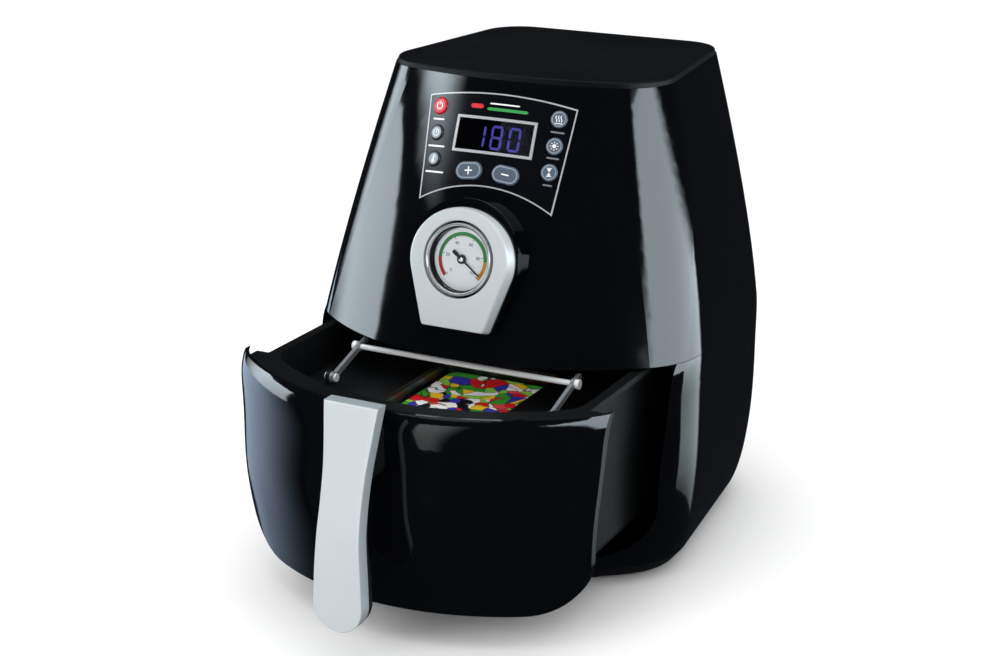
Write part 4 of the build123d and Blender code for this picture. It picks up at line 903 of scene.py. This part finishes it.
# %% [markdown]
# Each button has its own colour and a small white sign. The signs are built as a sign writer
# would cut them from film, out of ring pieces and bars a tenth of a millimetre thick, and they ride
# on the button's own body, so that they go in with it when it is pressed.
# %% Buttons and their signs
def bar(x0, y0, x1, y1, wide):
    """A flat bar between two points."""
    along = Vector((x1 - x0, y1 - y0)).normalized() * wide / 2
    side = Vector((-along.y, along.x))
    ends = [
        (x0 - side.x, y0 - side.y), (x1 - side.x, y1 - side.y),
        (x1 + side.x, y1 + side.y), (x0 + side.x, y0 + side.y),
    ]
    return ends, [(0, 1, 2, 3)]


def disc(x, y, radius, count=28):
    """A flat disc."""
    turns = [2 * pi * i / count for i in range(count)]
    return [(x + radius * cos(turn), y + radius * sin(turn)) for turn in turns], [tuple(range(count))]


def wave(x, low, high, swing, wide, count=16):
    """A flat wavy strip, for the heat sign."""
    points, faces = [], []
    for i in range(count + 1):
        share = i / count
        y = low + (high - low) * share
        middle = x + swing * sin(2 * pi * share)
        points += [(middle - wide / 2, y), (middle + wide / 2, y)]
        if i:
            n = len(points)
            faces.append((n - 4, n - 3, n - 1, n - 2))
    return points, faces


SIGNS = {
    "power": [arc_strip(1.9, 2.5, 115, 425, 36), bar(0, 0.7, 0, 3.1, 0.6)],
    "clock": [arc_strip(1.9, 2.4, 0, 360, 36), bar(0, -0.1, 0, 1.5, 0.45), bar(0, 0, 1.1, 0, 0.45)],
    "temperature": [
        bar(0, -0.6, 0, 2.7, 1.0), disc(0, -1.5, 1.25),
        bar(1.1, 1.9, 1.9, 1.9, 0.35), bar(1.1, 0.9, 1.9, 0.9, 0.35),
    ],
    "heat": [wave(x, -2.0, 2.3, 0.45, 0.55) for x in (-1.7, 0, 1.7)]
    + [bar(-2.6, -2.9, 2.6, -2.9, 0.5)],
    "light": [disc(0, 0, 1.25)]
    + [
        bar(1.9 * cos(a), 1.9 * sin(a), 2.9 * cos(a), 2.9 * sin(a), 0.5)
        for a in (pi * k / 4 for k in range(8))
    ],
    "timer": [
        bar(-1.7, 2.6, 1.7, 2.6, 0.5), bar(-1.7, -2.6, 1.7, -2.6, 0.5),
        ([(-1.3, 2.1), (0, 0.1), (1.3, 2.1)], [(0, 1, 2)]),
        ([(-1.3, -2.1), (1.3, -2.1), (0, -0.1)], [(0, 1, 2)]),
    ],
    "plus": [bar(-2.7, 0, -0.45, 0, 0.9), bar(0.45, 0, 2.7, 0, 0.9), bar(0, -2.7, 0, 2.7, 0.9)],
    "minus": [bar(-2.7, 0, 2.7, 0, 0.9)],
}
BUTTONS = {
    "power": (-44.6, 30.0, 0, red_button), "clock": (-43.8, 12.0, 0, dark_button),
    "temperature": (-42.4, -5.6, 0, dark_button), "heat": (42.9, 29.6, 0, grey_button),
    "light": (42.9, 11.9, 0, grey_button), "timer": (42.5, -5.4, 0, grey_button),
    "plus": (-13.4, -11.0, 7, grey_button), "minus": (13.4, -11.0, -7, grey_button),
}
sign_white = (white_mark[0], "silver_trim")
RADII = {"power": 5.7, "clock": 5.2, "temperature": 5.2, "heat": 5.7, "light": 5.7, "timer": 5.7}


def slot_ring(long, wide, thick, count=20):
    """The outline of a long key as a thin flat ring."""
    points, faces = [], []
    for k in range(2 * count + 2):
        left = k > count
        turn = -pi / 2 + pi * (k - (count + 1 if left else 0)) / count + (pi if left else 0)
        centre = (wide - long) / 2 if left else (long - wide) / 2
        for r in (wide / 2 - thick, wide / 2):
            points.append((centre + r * cos(turn), r * sin(turn)))
    n = len(points)
    for k in range(0, n, 2):
        faces.append((k, k + 1, (k + 3) % n, (k + 2) % n))
    return points, faces


for key, (u, v, angle, paint) in BUTTONS.items():
    dress(paint, key + "_button")
    space = cap_space(u, v, angle)
    body = key + "_key"
    if key in ("clock", "temperature"):
        dome = raise_flat(*disc(0, 0, 3.7, 40), 0.0, 0.12, space)
        add_mesh("dome_" + key, *dome, body, (rim_grey[0], paint[1]))
    elif key in RADII:
        edge = arc_strip(RADII[key] - 1.5, RADII[key] - 0.95, 0, 360, 48)
        tone = red_mark if key == "power" else rim_grey
        add_mesh("rim_" + key, *raise_flat(*edge, 0.0, 0.05, space), body, (tone[0], paint[1]))
    else:
        edge = slot_ring(17.6, 10.2, 0.75)
        add_mesh("rim_" + key, *raise_flat(*edge, 0.0, 0.05, space), body, (rim_grey[0], paint[1]))
    sign = raise_flat(*join_flat(SIGNS[key]), 0.13, 0.06, space)
    add_mesh("sign_" + key, *sign, body, sign_white)
print("signs", len(SIGNS))


# %% [markdown]
# Under each round button the film carries a small plain bar of print, and three more stand over
# the display. A bar is drawn flat with rounded ends and then laid on the curved film point by point.
# %% Printed bars on the film
def film_space(x, y, lift):
    """A point on the film's own top, raised from it."""
    return panel_space(x, y, FILM_TOP + lift)


def print_bar(name, u, v, long, high, paint):
    """A rounded bar of print that follows the panel's curve."""
    points, faces = [], []
    for i in range(25):
        share = i / 24
        x = (share - 0.5) * long
        end = max(0.0, abs(x) - (long / 2 - high / 2)) / (high / 2)
        half = high / 2 * sqrt(max(0.02, 1 - end**2))
        points += [(u + x, v - half), (u + x, v + half)]
        if i:
            n = len(points)
            faces.append((n - 4, n - 2, n - 1, n - 3))
    printed = raise_flat(points, faces, 0.0, 0.05, film_space)
    add_mesh(name, *printed, "housing", (paint[0], "panel_black"))


dim_mark = finish("mark_grey", "#6f737a", "#60646b", (0.4, 0.5), 1500, 0.02)
LABELS = [
    (-44.4, 21.1, 9.0, white_mark), (-42.6, 3.0, 13.5, white_mark), (-40.6, -14.3, 15.0, white_mark),
    (43.2, 21.0, 9.5, dim_mark), (43.0, 4.0, 8.5, dim_mark), (42.6, -13.8, 6.3, dim_mark),
]
for k, (u, v, long, paint) in enumerate(LABELS):
    print_bar(f"print_label_{k}", u, v, long, 1.15, paint)
print_bar("print_title_red", -16.0, 32.2, 9.5, 3.0, red_mark)
print_bar("print_title_green", 6.5, 31.0, 30.0, 2.0, green_mark)
print_bar("print_title_white", 4.0, 34.6, 22.0, 0.9, white_mark)
print("printed bars", len(LABELS) + 3)

# %% [markdown]
# The printed blank lies in the pit of the work table. Its design is bent cells of bright paints on
# white, with dark outlines. A noise texture pushes the cells about, and the distance to their
# borders draws the outlines. The paint glows a little, because the blank lies in the housing's
# shade and would be darker than in the photograph.
# %% Print on the blank
def make_design():
    """Group that paints bright, bent cells with dark outlines."""
    group, gin, gout = new_group(
        "bright cells", [(NUMBER, "Cell scale", 40.0)], [(COLOUR, "Color")]
    )
    add = group.nodes.new
    where, push = add("ShaderNodeTexCoord"), add("ShaderNodeTexNoise")
    push.inputs["Scale"].default_value = 26
    push.inputs["Detail"].default_value = 2
    offset, shifted = add("ShaderNodeVectorMath"), add("ShaderNodeVectorMath")
    offset.operation = "SCALE"
    offset.inputs["Scale"].default_value = 0.05
    cells, borders = add("ShaderNodeTexVoronoi"), add("ShaderNodeTexVoronoi")
    borders.feature = "DISTANCE_TO_EDGE"
    paint, outline = add("ShaderNodeValToRGB"), add("ShaderNodeValToRGB")
    paint.color_ramp.interpolation = "CONSTANT"
    stops = (
        (0.0, "#f4f4ef"), (0.2, "#3f9a35"), (0.34, "#d3222a"), (0.46, "#f6f6f2"), (0.56, "#f0c22e"),
        (0.66, "#3d37a8"), (0.76, "#8cc84b"), (0.86, "#e2474f"), (0.93, "#181a22"),
    )
    ramp = paint.color_ramp
    ramp.elements[0].color = linear(stops[0][1])
    ramp.elements[1].position, ramp.elements[1].color = stops[-1][0], linear(stops[-1][1])
    for spot, hexa in stops[1:-1]:
        ramp.elements.new(spot).color = linear(hexa)
    outline.color_ramp.elements[0].position = 0.02
    outline.color_ramp.elements[0].color = (0.02, 0.02, 0.03, 1)
    outline.color_ramp.elements[1].position = 0.05
    outline.color_ramp.elements[1].color = (1, 1, 1, 1)
    separate = add("ShaderNodeSeparateColor")
    multiply = add("ShaderNodeMix")
    multiply.data_type = "RGBA"
    multiply.blend_type = "MULTIPLY"
    multiply.inputs["Factor"].default_value = 0.8
    colours = [s for s in multiply.inputs if s.type == "RGBA"]
    link(
        group,
        (where, "Object", push, "Vector"),
        (push, "Color", offset, 0),
        (where, "Object", shifted, 0),
        (offset, "Vector", shifted, 1),
        (shifted, "Vector", cells, "Vector"),
        (shifted, "Vector", borders, "Vector"),
        (gin, "Cell scale", cells, "Scale"),
        (gin, "Cell scale", borders, "Scale"),
        (cells, "Color", separate, "Color"),
        (separate, "Red", paint, "Fac"),
        (borders, "Distance", outline, "Fac"),
    )
    group.links.new(paint.outputs["Color"], colours[0])
    group.links.new(outline.outputs["Color"], colours[1])
    result = next(s for s in multiply.outputs if s.type == "RGBA")
    group.links.new(result, gout.inputs["Color"])
    return group


design_group = make_design()
print_paint, paint_tree, paint_shader = new_material("print_paint")
design = paint_tree.nodes.new("ShaderNodeGroup")
design.node_tree = design_group
design.inputs["Cell scale"].default_value = 105
sheen = add_wear(
    paint_tree, Grain_scale=1200.0, Roughness_low=0.22, Roughness_high=0.34, Bump=0.05
)
paint_shader.inputs["Emission Strength"].default_value = 0.22
for source, out, into in (
    (design, "Color", "Base Color"), (design, "Color", "Emission Color"),
    (sheen, "Roughness", "Roughness"), (sheen, "Normal", "Normal"),
):
    paint_tree.links.new(source.outputs[out], paint_shader.inputs[into])
dress((print_paint, "print_paint"), "print_blank")
print("print design has", len(design_group.nodes), "nodes")

# %% [markdown]
# The camera stands to the right and a little above, as the photograph's did. Its place and lens
# were solved from points that can be seen both in the photograph and on the model.
# %% Camera
scene = bpy.context.scene
camera_data = bpy.data.cameras.new("camera")
camera_data.lens = 72.97
camera_data.sensor_width = 36.0
camera = bpy.data.objects.new("camera", camera_data)
scene.collection.objects.link(camera)
camera.location = (0.5995, -1.1541, 0.5943)
aim = Vector((-0.00396, 0.0105, 0.15463))
camera.rotation_euler = (aim - camera.location).to_track_quat("-Z", "Y").to_euler()
scene.camera = camera
print("camera", round((aim - camera.location).length, 3), "m from the machine")


# %% [markdown]
# Soft boxes light the silver, the dial and the print. They are left out of the reflections, so
# that the black gloss can be lit on its own.
# %% Lights
def aimed(thing, spot, target):
    """Stands something at a spot and turns its -Z towards a target."""
    thing.location = spot
    thing.rotation_euler = (Vector(target) - Vector(spot)).to_track_quat("-Z", "Y").to_euler()


def soft_box(name, spot, target, wide, high, power):
    """A rectangular studio light that looks at a target, in metres."""
    data = bpy.data.lights.new(name, "AREA")
    data.shape = "RECTANGLE"
    data.size, data.size_y = wide, high
    data.energy = power
    lamp = bpy.data.objects.new(name, data)
    scene.collection.objects.link(lamp)
    aimed(lamp, spot, target)
    lamp.visible_glossy = False
    return lamp


soft_box("overhead", (0.1, -0.1, 1.9), (0, 0, 0.1), 1.4, 1.4, 10)
soft_box("front fill", (-0.5, -2.2, 1.1), (0, 0, 0.15), 1.2, 0.9, 16)


# %% [markdown]
# Black gloss shows nothing but reflections, so the pale bands on the shoulders are drawn with
# tall glowing cards that curve round the machine, as in a product studio. Only reflections can
# see them. A card is given by its lower and upper edge, so its sides may slant. Each has its own
# fade at both sides and is dimmer towards the floor: the left one ends sharply, which gives the
# photograph's band its crisp right side. Two cards stand close to the machine, where only a part
# of the gloss can mirror them: the upper left one lights the skin over the panel, and the front
# one makes the grey shape beside the handle.
# %% Cards for the reflections
def card_glow(name, strength, side_stops, low_share, tint):
    """A glow that fades at a card's sides, and towards the floor."""
    material, tree, principled = new_material(name)
    tree.nodes.remove(principled)
    emit, where = tree.nodes.new("ShaderNodeEmission"), tree.nodes.new("ShaderNodeTexCoord")
    emit.inputs["Color"].default_value = linear(tint)
    split, ramp = tree.nodes.new("ShaderNodeSeparateXYZ"), tree.nodes.new("ShaderNodeValToRGB")
    ramp.color_ramp.interpolation = "EASE"
    ramp.color_ramp.elements[0].color = (0, 0, 0, 1)
    ramp.color_ramp.elements[1].color = (0, 0, 0, 1)
    for spot in side_stops:
        ramp.color_ramp.elements.new(spot).color = (1, 1, 1, 1)
    upward = tree.nodes.new("ShaderNodeMapRange")
    upward.inputs["To Min"].default_value = low_share * strength
    upward.inputs["To Max"].default_value = strength
    gain = tree.nodes.new("ShaderNodeMath")
    gain.operation = "MULTIPLY"
    link(
        tree,
        (where, "UV", split, "Vector"),
        (split, "X", ramp, "Fac"),
        (split, "Y", upward, "Value"),
        (ramp, "Color", gain, 0),
        (upward, "Result", gain, 1),
        (gain, "Value", emit, "Strength"),
        (emit, "Emission", tree.nodes["Material Output"], "Surface"),
    )
    material.cycles.emission_sampling = "NONE"
    return material


CARD_MIDDLE = 0.15  # the height, in metres, that elevations are measured from


def card(name, low, high, strength, side_stops, low_share, tint="#d6e4ec", distance=2.2):
    """A curved glowing card; its edges are (elevation, first azimuth, last azimuth) in degrees."""
    columns, rows = 24, 8
    points, faces, spots = [], [], []
    for r in range(rows + 1):
        tilt, first, last = (radians(a + (b - a) * r / rows) for a, b in zip(low, high))
        for c in range(columns + 1):
            turn = first + (last - first) * c / columns
            height = CARD_MIDDLE + distance * tan(tilt)
            points.append((distance * sin(turn), -distance * cos(turn), height))
            spots.append((c / columns, r / rows))
            if r and c:
                n = len(points)
                faces.append((n - 1, n - 2, n - columns - 3, n - columns - 2))
    mesh = bpy.data.meshes.new(name)
    mesh.from_pydata(points, [], faces)
    layer = mesh.uv_layers.new(name="across and up")
    for loop in mesh.loops:
        layer.data[loop.index].uv = spots[loop.vertex_index]
    piece = bpy.data.objects.new(name, mesh)
    scene.collection.objects.link(piece)
    mesh.materials.append(card_glow(name, strength, side_stops, low_share, tint))
    piece.visible_camera = False
    piece.visible_diffuse = False
    piece.visible_shadow = False
    piece.visible_transmission = False
    piece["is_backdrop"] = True


card("left card", (-7, -108, -68), (16.5, -104, -67.5), 6.2, (0.45, 0.94), 0.55)
card("low left card", (-40, -120, -62), (-6.5, -120, -62), 2.2, (0.08, 0.4), 0.02, "#bdd3ef")
card("upper left card", (28, -67, -46), (42, -67, -46), 13.0, (0.3, 0.4), 0.0, distance=0.42)
card("right card", (-2, 70, 150), (29, 38, 88), 5.6, (0.14, 0.82), 0.9)
card("low right card", (-31, 110, 160), (-2, 110, 150), 4.6, (0.04, 0.82), 0.1)
card("front card", (-16.8, -0.7, 8.0), (22, -3, 18), 1.5, (0.06, 0.35), 0.5, "#e6ebec", 0.4)
card("ceiling card", (50, -180, 180), (80, -180, 180), 0.7, (0.02, 0.98), 1.0)
print("cards up")

# %% [markdown]
# The machine stands on plain white paper in a white studio. The paper is left out of glossy
# reflections, and so is the white of the room, because the photograph's black stays black.
# %% Paper and room
PAPER = 40  # metres to each side, so that it ends far behind the machine
paper_mesh = bpy.data.meshes.new("paper")
paper_corners = [(-PAPER, -PAPER, 0), (PAPER, -PAPER, 0), (PAPER, PAPER, 0), (-PAPER, PAPER, 0)]
paper_mesh.from_pydata(paper_corners, [], [(0, 1, 2, 3)])
paper = bpy.data.objects.new("paper", paper_mesh)
scene.collection.objects.link(paper)
paper_white, _, paper_shader = new_material("paper")
paper_shader.inputs["Roughness"].default_value = 0.9
paper_shader.inputs["Base Color"].default_value = (0.93, 0.93, 0.93, 1)
paper_mesh.materials.append(paper_white)
paper.visible_glossy = False
paper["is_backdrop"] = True

room = bpy.data.worlds.new("room")
scene.world = room
room.use_nodes = True
room_tree = room.node_tree
back = room_tree.nodes["Background"]
path = room_tree.nodes.new("ShaderNodeLightPath")
dim = room_tree.nodes.new("ShaderNodeBackground")
dim.inputs["Color"].default_value = (0.012, 0.013, 0.016, 1)
back.inputs["Color"].default_value = (1, 1, 1, 1)
back.inputs["Strength"].default_value = 1.12
choose = room_tree.nodes.new("ShaderNodeMixShader")
room_tree.links.new(path.outputs["Is Glossy Ray"], choose.inputs["Fac"])
room_tree.links.new(back.outputs["Background"], choose.inputs[1])
room_tree.links.new(dim.outputs["Background"], choose.inputs[2])
room_tree.links.new(choose.outputs["Shader"], room_tree.nodes["World Output"].inputs["Surface"])
scene.view_settings.view_transform = "Standard"
print("room ready")

# %% [markdown]
# The finished pieces must fill the same box as the imported model, or the picture would show a machine
# of another size. How far they reach past that box on each side is printed.
# %% Size and finish
low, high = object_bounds()
past = (*(cad_low - low), *(high - cad_high))
print("past the packed box, mm", [round(v * 1000, 2) for v in past])
